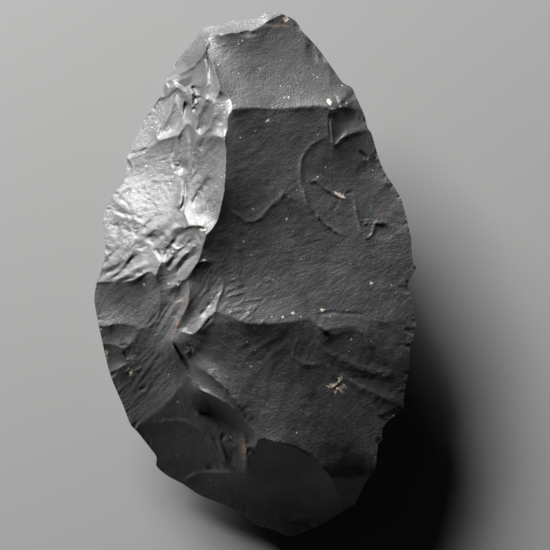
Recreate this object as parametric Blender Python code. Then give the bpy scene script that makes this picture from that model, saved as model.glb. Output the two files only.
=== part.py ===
"""A black flint hand axe, one flaked piece of stone, lying on its back with its tip towards +Y.

The stone is shaped the way a knapper shapes it. Each face starts as a smooth blank, and flakes are
struck off it in order. A scar keeps the height that its rim had on the older surface, spans smoothly
from rim to rim and dips below that by its hollow, so neighbouring scars meet in sharp ridges.

The drawing units are millimetres, X to the right and Y towards the tip, seen from above.
"""

import math

import bmesh
import bpy
import numpy as np

MM = 0.001

# Driving dimensions
LENGTH = 127.5
WIDTH = 78.0
THICKNESS = 35.0
REST_DEPTH = 0.7        # how far the back's dome would bulge below the flat spot it rests on
SIDE_FULLNESS = 2.3     # powers of the back's section from the rest spot out to the edge
TIP_FULLNESS = 2.8
BUTT_FULLNESS = 4.0
EDGE_WEDGE = 14.0       # least thickness gained from the edge to the centre
CENTRE = np.array([-1.0, -3.0])

# Fineness of the surface before and after it is thinned
AROUND = 640
RINGS = 110
TRIANGLES = 9600
LOOP_STEPS = 4
PROBES = 16
BATCH = 4000
TINY = 1e-9
NEAR_GROUND = 0.03
DECIMALS = 4            # places are rounded, so that every run thins the same surface
SHARP_DEGREES = 18

# The stone's edge, clockwise from the left corner of the tip
TIP_EDGE = [(-12.5, 60.0), (-8.0, 60.4), (-6.3, 61.6), (-2.4, 61.8), (0.7, 62.5), (1.9, 63.5),
            (3.6, 63.9), (6.0, 63.5), (9.2, 62.1), (10.4, 60.8)]
RIGHT_EDGE = [(11.4, 59.1), (14.8, 55.5), (18.2, 50.9), (21.1, 46.8), (23.3, 45.6), (24.5, 43.0),
              (26.4, 38.8), (27.1, 35.9), (28.1, 34.4), (29.8, 28.6), (31.3, 25.0), (34.9, 19.4),
              (36.3, 15.0), (37.7, 9.0), (37.8, 6.1), (38.3, 2.9), (38.9, 1.9), (38.5, 0.8),
              (36.9, -2.3), (38.1, -6.5), (38.9, -12.3), (38.4, -14.4), (37.4, -18.0),
              (37.2, -22.1), (36.0, -29.3), (36.0, -31.7)]
BASE_EDGE = [(35.2, -32.7), (31.0, -36.6), (30.6, -40.0), (29.6, -41.1), (29.0, -47.5),
             (26.9, -49.9), (24.2, -55.5), (22.5, -56.5), (15.0, -61.3), (9.2, -63.5),
             (7.8, -63.6), (3.6, -61.8), (0.5, -61.1), (-5.3, -57.0), (-13.3, -53.8),
             (-17.7, -50.9), (-21.3, -49.0), (-24.2, -46.5), (-24.2, -44.1)]
LEFT_EDGE = [(-28.6, -38.3), (-30.5, -36.2), (-32.3, -31.5), (-35.3, -24.2), (-37.2, -16.2),
             (-39.1, -6.3), (-38.5, -1.7), (-37.4, 1.2), (-36.4, 6.3), (-37.1, 11.3),
             (-36.9, 13.9), (-35.5, 17.7), (-33.9, 20.5), (-32.1, 22.3), (-31.3, 25.0),
             (-31.0, 29.1), (-27.1, 37.6), (-23.5, 42.9), (-21.8, 47.0), (-19.1, 52.1),
             (-15.0, 56.7)]

# Heights of the front blank, as (x, y, z)
EDGE_HEIGHTS = [(-12.5, 60.0, 22.0), (10.0, 61.0, 21.0), (14.8, 55.5, 20.0), (21.0, 47.0, 20.0),
                (26.4, 38.8, 20.5), (31.3, 25.0, 20.5), (37.7, 9.0, 20.3), (37.0, -2.0, 19.5),
                (38.9, -12.0, 18.8), (37.0, -25.0, 18.2), (32.0, -36.0, 18.4),
                (29.2, -46.5, 18.5), (26.0, -52.0, 14.0), (20.0, -59.0, 8.5),
                (9.0, -63.6, 6.0), (-5.0, -57.0, 5.0), (-18.0, -51.0, 5.0),
                (-25.0, -44.0, 8.0), (-31.0, -36.0, 10.5), (-35.5, -24.0, 14.5),
                (-39.0, -6.0, 20.0), (-37.0, 5.0, 21.0), (-37.0, 13.0, 19.5),
                (-33.0, 21.0, 18.5), (-31.0, 29.0, 17.0), (-25.0, 40.0, 17.5),
                (-19.0, 52.0, 18.5)]
TIP_HEIGHTS = [(-11.0, 58.2, 26.2), (-1.2, 59.2, 26.1), (4.0, 61.5, 24.0), (-12.0, 63.0, 21.0),
               (-1.0, 66.0, 19.4), (7.0, 66.5, 19.4)]
ARRIS_HEIGHTS = [(-11.9, 54.1, 27.8), (-9.9, 49.9, 29.8), (-8.7, 44.5, 31.9), (-5.6, 40.0, 33.4),
                 (-7.5, 33.0, 34.0), (-7.5, 23.0, 34.9), (-8.5, 16.0, 35.5), (-12.0, 10.0, 34.8),
                 (-8.0, 2.0, 35.5), (-9.0, -8.0, 34.5)]
RIGHT_HEIGHTS = [(1.7, 40.4, 29.9), (9.9, 40.5, 27.9), (17.0, 40.5, 26.2), (19.0, 32.0, 26.2),
                 (11.0, 25.0, 30.8), (20.9, 10.0, 27.6), (29.0, 13.5, 24.0), (6.5, 19.2, 32.8),
                 (-1.2, 13.0, 34.8), (11.0, 4.0, 31.0), (23.0, 1.0, 26.8), (-1.5, -11.5, 32.6),
                 (9.5, -11.0, 29.9), (22.0, -9.5, 26.2), (33.0, -10.5, 22.0),
                 (20.0, -26.0, 24.0), (30.0, -31.0, 20.0)]
LEFT_HEIGHTS = [(-18.7, 45.3, 21.5), (-15.8, 50.4, 22.5), (-24.0, 35.0, 20.3),
                (-15.5, 37.0, 26.5), (-17.5, 22.0, 27.0), (-18.0, 17.5, 28.5),
                (-27.0, 12.0, 24.9), (-30.0, 15.0, 22.5), (-20.4, 7.0, 30.0), (-24.0, 0.2, 29.6),
                (-28.0, -1.0, 27.0), (-16.0, -4.0, 32.0), (-23.0, -4.0, 28.5),
                (-25.7, -12.0, 24.5), (-30.8, -16.3, 20.5), (-33.0, -22.0, 16.8),
                (-20.1, -16.0, 28.0), (-17.7, -25.0, 23.5), (-20.0, -29.3, 19.8),
                (-24.0, -33.0, 15.0)]
BASE_HEIGHTS = [(-14.3, -27.4, 26.5), (-6.1, -31.5, 28.2), (-6.5, -28.0, 29.3),
                (-2.2, -35.6, 27.2), (0.5, -39.8, 26.8), (12.0, -42.5, 24.0),
                (18.4, -49.2, 20.2), (-2.2, -48.2, 15.5), (-11.6, -48.2, 9.5)]
PEG_ROUNDING = 3.0


def smooth_loop(points, softness=1.0, steps=LOOP_STEPS):
    """Closed curve through the points. Softness 0 leaves straight sides and sharp corners."""
    here = np.array(points, float)
    after = np.roll(here, -1, axis=0)
    before = np.roll(here, 1, axis=0)
    reach = np.minimum(np.hypot(*(after - here).T), np.hypot(*(here - before).T))
    chord = after - before
    tangent = chord * (softness * reach / np.hypot(*chord.T))[:, None]
    t = (np.arange(steps) / steps)[None, :, None]
    curve = ((2 * t**3 - 3 * t**2 + 1) * here[:, None] + (t**3 - 2 * t**2 + t) * tangent[:, None]
             + (3 * t**2 - 2 * t**3) * after[:, None]
             + (t**3 - t**2) * np.roll(tangent, -1, axis=0)[:, None])
    return curve.reshape(-1, 2)


def inside(points, loop):
    """Which of the points lie inside a closed loop."""
    low, high = loop.min(axis=0), loop.max(axis=0)
    near = np.flatnonzero(((points >= low) & (points <= high)).all(axis=1))
    after = np.roll(loop, -1, axis=0)
    run = after - loop
    run[run[:, 1] == 0, 1] = 1e-12
    odd = np.zeros(len(near), bool)
    for start, end, step in zip(loop, after, run):
        y = points[near, 1]
        crosses = (start[1] > y) != (end[1] > y)
        odd ^= crosses & (points[near, 0] < start[0] + (y - start[1]) * step[0] / step[1])
    return near[odd]


def rim_weights(points, loop):
    """How strongly each corner of a loop pulls at each point inside it.

    The pull is the inverse square of the distance, summed exactly along the loop's sides.
    """
    after = np.roll(loop, -1, axis=0)
    side = np.hypot(*(after - loop).T)
    along = (after - loop) / side[:, None]
    ray_x = loop[:, 0] - points[:, :1]
    ray_y = loop[:, 1] - points[:, 1:]
    reach = np.hypot(ray_x, ray_y) + TINY
    next_reach = np.roll(reach, -1, axis=1)
    foot = -(ray_x * along[:, 0] + ray_y * along[:, 1]) / side
    off_line = np.abs(ray_x * along[:, 1] - ray_y * along[:, 0])
    sine = np.clip(side * off_line / (reach * next_reach), TINY, 1)
    cosine = (ray_x * np.roll(ray_x, -1, axis=1) + ray_y * np.roll(ray_y, -1, axis=1))
    whole = side * np.arctan2(sine, cosine / (reach * next_reach)) / (sine * reach * next_reach)
    later = whole * foot + np.log(next_reach / reach) / side
    return (whole - later) + np.roll(later, 1, axis=1)


def distance_to_loop(points, loop):
    """Shortest distance from each point to the loop's sides."""
    run = np.roll(loop, -1, axis=0) - loop
    gap = points[:, None] - loop[None]
    share = np.clip((gap * run).sum(axis=2) / ((run**2).sum(axis=1) + 1e-12), 0, 1)
    off = gap - share[..., None] * run
    return np.hypot(off[..., 0], off[..., 1]).min(axis=1)


def ease(value):
    """Smooth step from 0 to 1."""
    value = np.clip(value, 0, 1)
    return value * value * (3 - 2 * value)


class Scar:
    """The hollow that one flake leaves inside its rim."""

    def __init__(self, face, rim, hollow, deep, lip, wall, softness):
        self.loop = smooth_loop(rim, softness)
        self.middle = self.loop.mean(axis=0)
        self.size = np.hypot(*(self.loop - self.middle).T).mean()
        self.hollow, self.deep, self.lip, self.wall = hollow, np.array(deep), np.array(lip), wall
        heights = face.height(self.loop)
        level = np.column_stack([self.loop - self.middle, np.ones(len(self.loop))])
        self.plane = np.linalg.lstsq(level, heights, rcond=None)[0]
        self.residual = heights - level @ self.plane
        low, high = self.loop.min(axis=0), self.loop.max(axis=0)
        steps = np.linspace(0, 1, PROBES)
        grid = np.stack(np.meshgrid(steps, steps), axis=-1).reshape(-1, 2) * (high - low) + low
        probes = grid[inside(grid, self.loop)]
        self.depth = 1 / rim_weights(probes, self.loop).sum(axis=1).min()

    def height(self, points):
        off = points - self.middle
        weights = rim_weights(points, self.loop)
        total = weights.sum(axis=1)
        height = off @ self.plane[:2] + self.plane[2] + weights @ self.residual / total
        height -= self.hollow * (1 + off @ self.deep / self.size) / (total * self.depth)
        if self.lip.any():
            drop = np.maximum(off @ self.lip / self.size, 0)
            height -= drop * ease(distance_to_loop(points, self.loop) / self.wall)
        return height


class Face:
    """One side of the stone: a smooth blank and the scars struck on it, oldest first."""

    def __init__(self, blank):
        self.blank = blank
        self.scars = []

    def strike(self, hollow, rim, deep=(0.0, 0.0), lip=(0.0, 0.0), wall=0.8,
               softness=1.0):
        self.scars.append(Scar(self, rim, hollow, deep, lip, wall, softness))

    def height(self, points):
        height = self.blank(points)
        for scar in self.scars:
            found = inside(points, scar.loop)
            for start in range(0, len(found), BATCH):
                part = found[start:start + BATCH]
                height[part] = scar.height(points[part])
        return height


def pegged_surface(pegs):
    """A smooth surface through the pegs, as a function of plan position."""
    pegs = np.array(pegs)
    places, heights = pegs[:, :2], pegs[:, 2]

    def spread(points):
        gap = points[:, None] - places[None]
        return np.sqrt((gap**2).sum(axis=2) + PEG_ROUNDING**2)

    level = heights.mean()
    pull = np.linalg.solve(spread(places), heights - level)
    return lambda points: level + spread(points) @ pull


class Edge:
    """The stone's outline as a radius about the centre."""

    def __init__(self):
        outline = smooth_loop(TIP_EDGE + RIGHT_EDGE + BASE_EDGE + LEFT_EDGE) - CENTRE
        angle = np.arctan2(outline[:, 1], outline[:, 0])
        order = np.argsort(angle)
        self.angle, self.radius = angle[order], np.hypot(*outline.T)[order]

    def radius_at(self, angle):
        return np.interp(angle, self.angle, self.radius, period=2 * math.pi)

    def point(self, angle, share=1.0):
        reach = share * self.radius_at(angle)
        return CENTRE + np.stack([reach * np.cos(angle), reach * np.sin(angle)], axis=-1)

    def share_and_angle(self, points):
        off = points - CENTRE
        angle = np.arctan2(off[:, 1], off[:, 0])
        return np.hypot(*off.T) / self.radius_at(angle), angle


def strike_middle(front):
    """The broad scars of the plateau right of the main ridge."""
    front.strike(0.6, [(-7.5, 30.3), (-7.5, 20.6), (-11.9, 9.9), (-14.3, 4.1), (-15.8, -3.6),
                       (-13.3, -13.3), (-3.6, -13.3), (10.9, -13.3), (25.5, -13.3),
                       (41.2, -14.5), (42.4, -1.2), (41.2, 10.9), (35.1, 27.9), (27.9, 35.1),
                       (18.2, 37.6), (6.1, 40.0), (-4.6, 39.5)])
    front.strike(0.5, [(-11.0, 58.2), (-1.2, 59.1), (3.2, 61.8), (6.5, 63.3), (12.0, 62.0),
                       (16.0, 55.5), (19.0, 51.0), (18.0, 48.5), (19.0, 43.6), (17.0, 40.7),
                       (9.9, 40.5), (1.7, 40.4), (-5.6, 40.0), (-8.7, 44.4), (-9.9, 49.9),
                       (-11.9, 54.1)])
    front.strike(0.5, [(-5.6, 40.0), (6.1, 40.5), (17.7, 40.5), (18.7, 32.7), (15.3, 25.5),
                       (11.4, 18.9), (8.5, 18.7), (6.5, 19.4), (2.9, 16.0), (-1.2, 12.8),
                       (-4.6, 14.5), (-7.3, 20.1), (-7.3, 33.9)], deep=(0.0, 0.3))
    front.strike(0.4, [(19.2, 31.5), (16.9, 34.1), (14.3, 33.0), (12.4, 31.3), (10.9, 28.6),
                       (10.9, 25.0), (11.5, 19.2), (15.5, 14.3), (20.9, 9.9), (25.7, 9.7),
                       (36.0, 10.5), (36.5, 23.0), (28.5, 35.0), (25.7, 35.4), (22.5, 34.7),
                       (20.6, 33.0)])


def strike_right_edge(front):
    """The smaller scars down the right edge."""
    front.strike(0.4, [(17.9, 39.5), (20.1, 40.7), (23.0, 40.5), (26.5, 40.0), (28.5, 35.5),
                       (25.7, 35.4), (22.5, 34.7), (20.6, 33.0), (19.2, 31.5), (18.4, 33.2),
                       (18.2, 36.4)], softness=0.5, lip=(-0.2, 0.0))
    front.strike(0.5, [(18.7, 44.8), (21.8, 45.8), (25.0, 45.5), (25.0, 43.0), (21.6, 42.2),
                       (19.5, 41.2), (18.4, 43.0)], lip=(-0.1, -0.2))
    front.strike(0.3, [(11.9, 55.5), (12.4, 53.3), (13.8, 51.6), (15.8, 51.6), (18.5, 52.5),
                       (15.5, 57.0), (12.6, 58.0)])
    front.strike(0.4, [(17.4, 51.6), (17.9, 48.5), (18.4, 45.3), (23.5, 45.0), (21.5, 50.0),
                       (18.5, 53.5)])
    front.strike(0.4, [(24.7, 24.0), (27.9, 23.5), (31.5, 22.5), (34.0, 20.6), (35.5, 23.5),
                       (32.0, 29.5), (30.0, 31.0), (26.9, 28.4), (25.0, 26.7)])
    front.strike(0.3, [(28.4, 18.2), (29.3, 15.3), (31.3, 12.6), (33.5, 10.4), (38.5, 12.0),
                       (37.5, 18.0), (35.0, 23.0), (30.3, 21.1)])
    front.strike(0.35, [(23.2, 18.9), (24.0, 14.1), (25.7, 9.7), (26.9, 9.2), (27.9, 9.7),
                       (28.8, 12.1), (29.1, 13.5), (28.4, 15.0), (26.9, 18.2), (25.0, 20.1)])
    front.strike(0.2, [(29.1, 12.8), (31.3, 12.6), (33.5, 10.4), (32.0, 8.5), (29.0, 9.0),
                       (27.9, 9.5)])


def strike_lower_face(front):
    """The large lower scar, its bevel by the notch and the group of scars at its right."""
    front.strike(-0.5, [(-20.1, -16.0), (-13.3, -12.8), (-9.5, -8.7), (-1.5, -11.6),
                       (9.2, -11.1), (13.6, -10.2), (19.0, -16.0), (23.0, -23.5),
                       (35.1, -31.5), (37.0, -37.5), (32.0, -41.5), (30.5, -48.5),
                       (27.9, -48.7), (23.0, -49.5), (18.4, -49.2), (15.5, -45.6),
                       (11.9, -42.4), (5.1, -40.2), (0.5, -39.8), (-3.6, -32.2),
                       (-6.5, -27.9), (-11.9, -23.3), (-17.5, -20.1)])
    front.strike(0.0, [(11.5, -9.7), (17.7, -9.2), (25.5, -9.5), (28.4, -10.7), (31.0, -11.3),
                       (35.0, -10.7), (40.0, -12.6), (40.0, -18.2), (30.3, -20.4),
                       (26.9, -15.8), (24.5, -13.3), (19.6, -13.8), (16.5, -13.3),
                       (13.6, -10.2)])
    front.strike(0.05, [(9.5, -14.8), (9.0, -18.7), (9.9, -20.8), (12.4, -21.6), (17.2, -21.6),
                       (18.9, -19.9), (16.3, -17.0), (15.0, -13.3), (13.6, -10.9),
                       (10.9, -11.4)])
    front.strike(0.0, [(16.5, -13.3), (19.6, -13.8), (24.5, -13.3), (26.9, -15.8),
                       (30.3, -20.4), (38.5, -24.5), (35.4, -24.5), (31.0, -23.5),
                       (26.5, -22.0), (21.3, -20.1), (19.2, -19.9), (16.3, -17.0),
                       (15.8, -14.5)])
    front.strike(0.05, [(19.2, -19.9), (21.3, -20.1), (26.5, -22.0), (31.0, -23.5),
                       (35.4, -24.5), (38.5, -26.0), (38.0, -32.0), (35.1, -31.5),
                       (29.6, -28.4), (24.5, -25.9), (21.8, -25.0), (18.9, -23.0)])
    front.strike(0.2, [(-20.1, -16.0), (-17.5, -20.1), (-11.9, -23.3), (-6.5, -27.9),
                       (-3.6, -32.2), (0.5, -39.8), (-2.2, -35.6), (-6.1, -31.5),
                       (-11.4, -28.4), (-14.3, -27.1), (-16.7, -21.6)],
                 lip=(-0.4, -0.4))


def strike_upper_left(front):
    """The tip's left facet, the rough ground below it and the first edge scars."""
    front.strike(0.6, [(-23.5, 44.0), (-18.7, 45.3), (-20.1, 41.7), (-21.3, 38.3),
                       (-24.0, 36.4), (-24.2, 33.9), (-23.7, 32.5), (-25.7, 31.8),
                       (-27.9, 30.5), (-31.0, 28.4), (-34.0, 30.5), (-28.0, 41.5)])
    front.strike(0.6, [(-18.7, 45.3), (-16.3, 47.3), (-15.3, 43.6), (-14.0, 41.2),
                       (-15.3, 37.8), (-19.2, 34.2), (-23.0, 33.5), (-24.0, 36.4),
                       (-21.3, 38.3), (-20.1, 41.7)])
    front.strike(0.5, [(-13.5, 52.4), (-11.9, 48.5), (-11.6, 44.8), (-13.6, 41.7),
                       (-15.8, 44.4), (-16.7, 48.2)])
    front.strike(0.3, [(-8.7, 44.4), (-6.4, 43.0), (-5.6, 40.1), (-6.7, 38.3), (-7.3, 33.9),
                       (-12.1, 32.7), (-13.6, 34.2), (-11.6, 35.1), (-9.9, 39.3),
                       (-10.2, 42.2)])
    front.strike(0.4, [(-11.9, 54.1), (-9.9, 49.9), (-8.7, 44.8), (-10.4, 42.2),
                       (-12.4, 43.4), (-11.1, 47.8), (-12.6, 52.1)])
    front.strike(0.7, [(-11.6, 42.2), (-9.9, 40.7), (-10.2, 38.1), (-11.6, 35.1),
                       (-13.8, 34.2), (-14.3, 37.1), (-13.3, 40.0)])
    front.strike(0.7, [(-11.0, 58.2), (-11.6, 56.5), (-12.4, 54.1), (-13.5, 52.4),
                       (-15.8, 50.4), (-18.7, 47.8), (-20.1, 46.8), (-21.8, 47.0),
                       (-25.0, 47.5), (-20.0, 56.0), (-13.5, 61.5)])


def strike_left_flank(front):
    """The bright scars between the left edge and the main ridge."""
    front.strike(0.9, [(-15.3, 30.3), (-13.3, 33.2), (-7.5, 32.7), (-7.4, 23.0), (-7.7, 19.6),
                       (-9.2, 13.3), (-11.9, 9.9), (-12.8, 11.9), (-15.8, 12.1),
                       (-17.0, 14.8), (-17.9, 17.5), (-17.2, 19.2), (-17.5, 24.0)],
                 deep=(0.2, 0.0))
    front.strike(1.2, [(-31.3, 27.9), (-27.9, 30.5), (-23.7, 32.5), (-19.4, 33.7),
                       (-16.7, 33.2), (-15.8, 30.3), (-16.7, 26.7), (-17.5, 21.8),
                       (-17.7, 19.2), (-18.9, 16.5), (-21.6, 12.8), (-24.2, 10.8),
                       (-26.9, 11.9), (-29.2, 13.6), (-30.5, 16.2), (-33.7, 19.6),
                       (-37.0, 21.0), (-34.0, 27.9)], deep=(0.0, 0.5), lip=(0.3, 0.0))
    front.strike(0.6, [(-33.7, 19.6), (-30.5, 16.2), (-29.2, 13.6), (-26.9, 11.9),
                       (-29.6, 7.8), (-32.7, 3.2), (-37.6, 0.7), (-41.0, 1.0), (-40.5, 18.0),
                       (-36.5, 21.0)])
    front.strike(0.6, [(-26.9, 11.9), (-24.2, 10.9), (-21.6, 12.8), (-17.9, 17.2),
                       (-17.0, 14.8), (-16.5, 11.9), (-20.4, 7.0), (-23.0, 3.2),
                       (-24.0, 0.2), (-27.9, 0.0), (-32.7, -0.7), (-38.3, -1.7),
                       (-41.0, 0.5), (-32.7, 3.2), (-29.6, 7.8)])
    front.strike(0.7, [(-17.0, 11.6), (-12.8, 11.9), (-11.9, 9.9), (-14.0, 3.2),
                       (-17.0, -1.0), (-19.4, -2.4), (-23.0, -3.6), (-24.0, 0.2),
                       (-20.4, 7.0)], lip=(0.0, 0.3))


def strike_lower_left(front):
    """The scars below them, down to the notch."""
    front.strike(0.9, [(-23.0, -4.1), (-19.4, -3.2), (-16.3, -7.0), (-17.2, -9.0),
                       (-20.1, -16.0), (-17.5, -21.8), (-17.7, -24.7), (-19.9, -29.3),
                       (-23.8, -33.0), (-29.6, -37.3), (-35.0, -36.5), (-39.5, -24.2),
                       (-35.4, -24.2), (-33.0, -22.3), (-30.8, -16.5), (-28.6, -13.3),
                       (-25.7, -12.1), (-24.0, -8.2)])
    front.strike(1.0, [(-38.3, -1.6), (-29.8, -1.2), (-25.7, 1.1), (-23.5, -1.6),
                       (-23.0, -4.1), (-24.0, -8.1), (-25.7, -12.1), (-29.3, -12.7),
                       (-35.9, -12.1), (-41.0, -12.1), (-41.5, -2.0)], lip=(0.1, 0.3))
    front.strike(0.5, [(-36.4, -12.4), (-28.5, -13.3), (-29.3, -14.8), (-30.8, -16.2),
                       (-33.2, -17.2), (-39.0, -17.7), (-40.0, -12.8)])
    front.strike(0.7, [(-37.0, -17.0), (-33.2, -17.2), (-31.0, -20.6), (-33.0, -22.3),
                       (-35.4, -24.5), (-39.0, -25.0), (-39.5, -17.5)], softness=0.5)
    front.strike(0.4, [(-19.4, -2.7), (-18.4, -1.2), (-16.7, -1.9), (-16.0, -4.1),
                       (-16.3, -6.5), (-18.7, -6.8), (-21.1, -5.1)], lip=(-0.1, 0.3))
    front.strike(0.5, [(-13.6, 3.2), (-10.7, 3.2), (-9.2, 1.7), (-8.0, -0.5), (-7.8, -2.9),
                       (-9.0, -7.8), (-11.9, -10.9), (-15.0, -14.1), (-17.9, -13.6),
                       (-20.1, -16.0), (-18.7, -11.9), (-16.3, -7.0), (-16.0, -3.6),
                       (-16.7, -1.2), (-15.0, 1.7)])


def strike_base(front):
    """The steep scars of the butt and the deep notch at its left."""
    front.strike(1.6, [(-17.7, -51.2), (-16.0, -48.7), (-11.6, -48.2), (-7.5, -47.5),
                       (-2.2, -48.2), (-1.9, -43.6), (0.5, -39.8), (5.1, -40.2),
                       (11.9, -42.4), (15.5, -45.6), (18.4, -49.2), (21.8, -54.5),
                       (23.0, -60.6), (8.5, -68.0), (-8.5, -62.0), (-19.4, -55.8)])
    front.strike(0.4, [(18.4, -49.2), (23.0, -49.5), (28.4, -48.7), (29.3, -52.6),
                       (25.0, -58.2), (21.8, -55.8)], softness=0.6)
    front.strike(1.3, [(-17.5, -25.0), (-14.3, -27.4), (-11.4, -28.5), (-6.1, -31.6),
                       (-2.1, -35.6), (0.5, -39.8), (-1.7, -43.6), (-2.2, -48.2),
                       (-7.5, -47.5), (-11.6, -48.2), (-16.0, -48.7), (-17.7, -51.2),
                       (-25.5, -49.2), (-31.5, -40.0), (-29.6, -37.3), (-23.8, -33.0),
                       (-19.9, -29.3)])
    front.strike(3.2, [(-17.5, -25.0), (-14.3, -27.4), (-11.4, -28.5), (-6.1, -31.6),
                       (-2.1, -35.6), (0.5, -39.8), (-2.2, -43.0), (-6.5, -41.0),
                       (-10.0, -38.0), (-13.5, -34.5), (-17.0, -30.0)],
                 deep=(0.0, 0.6), lip=(2.0, 2.0), wall=2.0)
    front.strike(1.0, [(-25.9, -36.1), (-22.3, -35.4), (-16.5, -35.9), (-11.6, -38.5),
                       (-9.9, -41.2), (-8.7, -44.4), (-8.0, -47.5), (-11.6, -48.2),
                       (-16.0, -48.7), (-17.7, -51.2), (-25.5, -49.7), (-30.8, -40.0)],
                 lip=(0.2, 0.3))
    front.strike(0.5, [(-8.5, -39.8), (-6.5, -41.5), (-3.6, -41.7), (-2.9, -43.6),
                       (-2.2, -48.2), (-7.5, -47.5), (-8.0, -44.4)])


def strike_tip(front):
    """The steep facet across the tip and the wedge at its right."""
    front.strike(0.4, [(-11.0, 58.2), (-4.1, 58.9), (-1.2, 59.4), (1.7, 60.5), (3.2, 61.8),
                       (5.8, 63.0), (7.3, 66.0), (-1.2, 66.0), (-13.3, 63.8),
                       (-13.8, 60.1)])
    front.strike(0.2, [(1.7, 60.4), (3.2, 61.8), (5.8, 63.0), (9.5, 63.5), (11.5, 60.5),
                       (8.2, 60.2)], softness=0.6)


def front_face():
    """The face that is seen, struck scar by scar."""
    front = Face(pegged_surface(EDGE_HEIGHTS + TIP_HEIGHTS + ARRIS_HEIGHTS + RIGHT_HEIGHTS
                                + LEFT_HEIGHTS + BASE_HEIGHTS))
    for strike in (strike_middle, strike_lower_face, strike_right_edge, strike_upper_left,
                   strike_left_flank, strike_lower_left, strike_base, strike_tip):
        strike(front)
    return front


# The back's broad scars in the order they were struck, seen from above: where each starts on the
# edge in degrees, half its width in degrees, how close it comes to the centre as a share of the
# radius, how far its end swings round in degrees, and its hollow
BROAD_SCARS = [(84.0, 26.0, 0.30, 16.0, 0.3), (30.0, 30.0, 0.24, -12.0, 0.5),
               (148.0, 30.0, 0.28, -14.0, 0.5), (338.0, 32.0, 0.28, 14.0, 0.5),
               (208.0, 32.0, 0.24, 12.0, 0.5), (296.0, 24.0, 0.42, -10.0, 0.5),
               (250.0, 24.0, 0.46, 12.0, 0.4), (176.0, 20.0, 0.48, 14.0, 0.7),
               (4.0, 19.0, 0.50, -14.0, 0.7), (107.0, 13.0, 0.56, 12.0, 0.6),
               (58.0, 12.0, 0.58, -10.0, 0.6), (274.0, 15.0, 0.64, 0.0, 0.6)]
SMALL_SCARS = 19
BEYOND_EDGE = 1.1
EDGE_BLEND = 0.12
RADIUS_STEPS = 30
LINE_STEPS = 10


def tongue(edge, start, half_width, near, swing):
    """Rim of a scar that runs in from the edge and ends in a rounded tongue."""
    middle = 0.5 * (1 + near)
    corners = [(-0.9, BEYOND_EDGE, 0.0), (-1.1, middle, 0.4), (-0.75, near + 0.12, 0.9),
               (0.05, near, 1.0), (0.8, near + 0.16, 0.9), (1.1, middle, 0.4),
               (0.9, BEYOND_EDGE, 0.0)]
    return [edge.point(math.radians(start + side * half_width + turned * swing), share)
            for side, share, turned in corners]


class Stone:
    """Both faces of the stone and the edge where they meet."""

    def __init__(self):
        self.edge = Edge()
        self.front = front_face()
        self.turn = np.linspace(-math.pi, math.pi, AROUND * 2, endpoint=False)
        line = self.front.height(self.edge.point(self.turn))
        self.soft_line = self.evened(line, LINE_STEPS)
        self.soft_radius = self.evened(self.edge.radius_at(self.turn), RADIUS_STEPS)
        self.back = Face(self.dome)
        self.strike_back()
        self.gap = line - self.back.height(self.edge.point(self.turn))

    def evened(self, line, steps):
        """The line around the edge with its waves of a few steps taken out."""
        reach = 3 * steps
        spread = np.exp(-0.5 * (np.arange(-reach, reach + 1) / steps)**2)
        padded = np.concatenate([line[-reach:], line, line[:reach]])
        return np.convolve(padded, spread / spread.sum(), mode="valid")

    def around(self, angle, line):
        return np.interp(angle, self.turn, line, period=2 * math.pi)

    def dome(self, points):
        """The back's blank, full at the butt and leaner along the sides."""
        off = points - CENTRE
        angle = np.arctan2(off[:, 1], off[:, 0])
        share = np.hypot(*off.T) / self.around(angle, self.soft_radius)
        towards_tip = np.sin(angle)
        fullness = (SIDE_FULLNESS + (TIP_FULLNESS - SIDE_FULLNESS) * ease(towards_tip)
                    + (BUTT_FULLNESS - SIDE_FULLNESS) * ease(-towards_tip))
        rise = self.around(angle, self.soft_line) + REST_DEPTH
        return rise * np.minimum(share, 1)**fullness - REST_DEPTH

    def strike_back(self):
        for start, half_width, near, swing, hollow in BROAD_SCARS:
            self.back.strike(-hollow, tongue(self.edge, start, half_width, near, swing))
        for step in range(SMALL_SCARS):
            start = 360 * (step + 0.3 * math.sin(5.0 * step)) / SMALL_SCARS
            size = 1 + 0.35 * math.sin(2.4 * step + 1.0)
            rim = tongue(self.edge, start, 7.5 * size, 1 - 0.24 * size, 4 * math.sin(3.1 * step))
            self.back.strike(-0.55 * size, rim)

    def underside(self, points):
        share, angle = self.edge.share_and_angle(points)
        blend = np.clip((share - 1) / EDGE_BLEND + 1, 0, 1)**2
        height = self.back.height(points) + self.around(angle, self.gap) * blend
        height = np.minimum(height, self.front.height(points) - EDGE_WEDGE * (1 - share))
        return np.maximum(height, 0)


def shape_stone(mesh):
    """Move the vertices of a unit sphere onto the stone's two faces."""
    count = len(mesh.vertices)
    unit = np.empty(count * 3)
    mesh.vertices.foreach_get("co", unit)
    unit = unit.reshape(-1, 3)
    angle = np.arctan2(unit[:, 1], unit[:, 0])
    rise = np.arcsin(np.clip(unit[:, 2], -1, 1)) / (math.pi / 2)
    rise[np.abs(rise) < 1e-4] = 0
    stone = Stone()
    plan = stone.edge.point(angle, 1 - np.abs(rise))
    height = np.empty(count)
    top = rise >= 0
    height[top] = stone.front.height(plan[top])
    height[~top] = stone.underside(plan[~top])
    places = np.round(np.column_stack([plan, height]), DECIMALS)
    mesh.vertices.foreach_set("co", places.ravel())


def flint():
    """Black flint, glossy on its fresh scars."""
    material = bpy.data.materials.new("flint")
    material.use_nodes = True
    shader = material.node_tree.nodes["Principled BSDF"]
    shader.inputs["Base Color"].default_value = (0.028, 0.028, 0.030, 1.0)
    shader.inputs["Roughness"].default_value = 0.4
    shader.inputs["Metallic"].default_value = 0.0
    material.diffuse_color = (0.09, 0.09, 0.095, 1.0)
    return material


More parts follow.
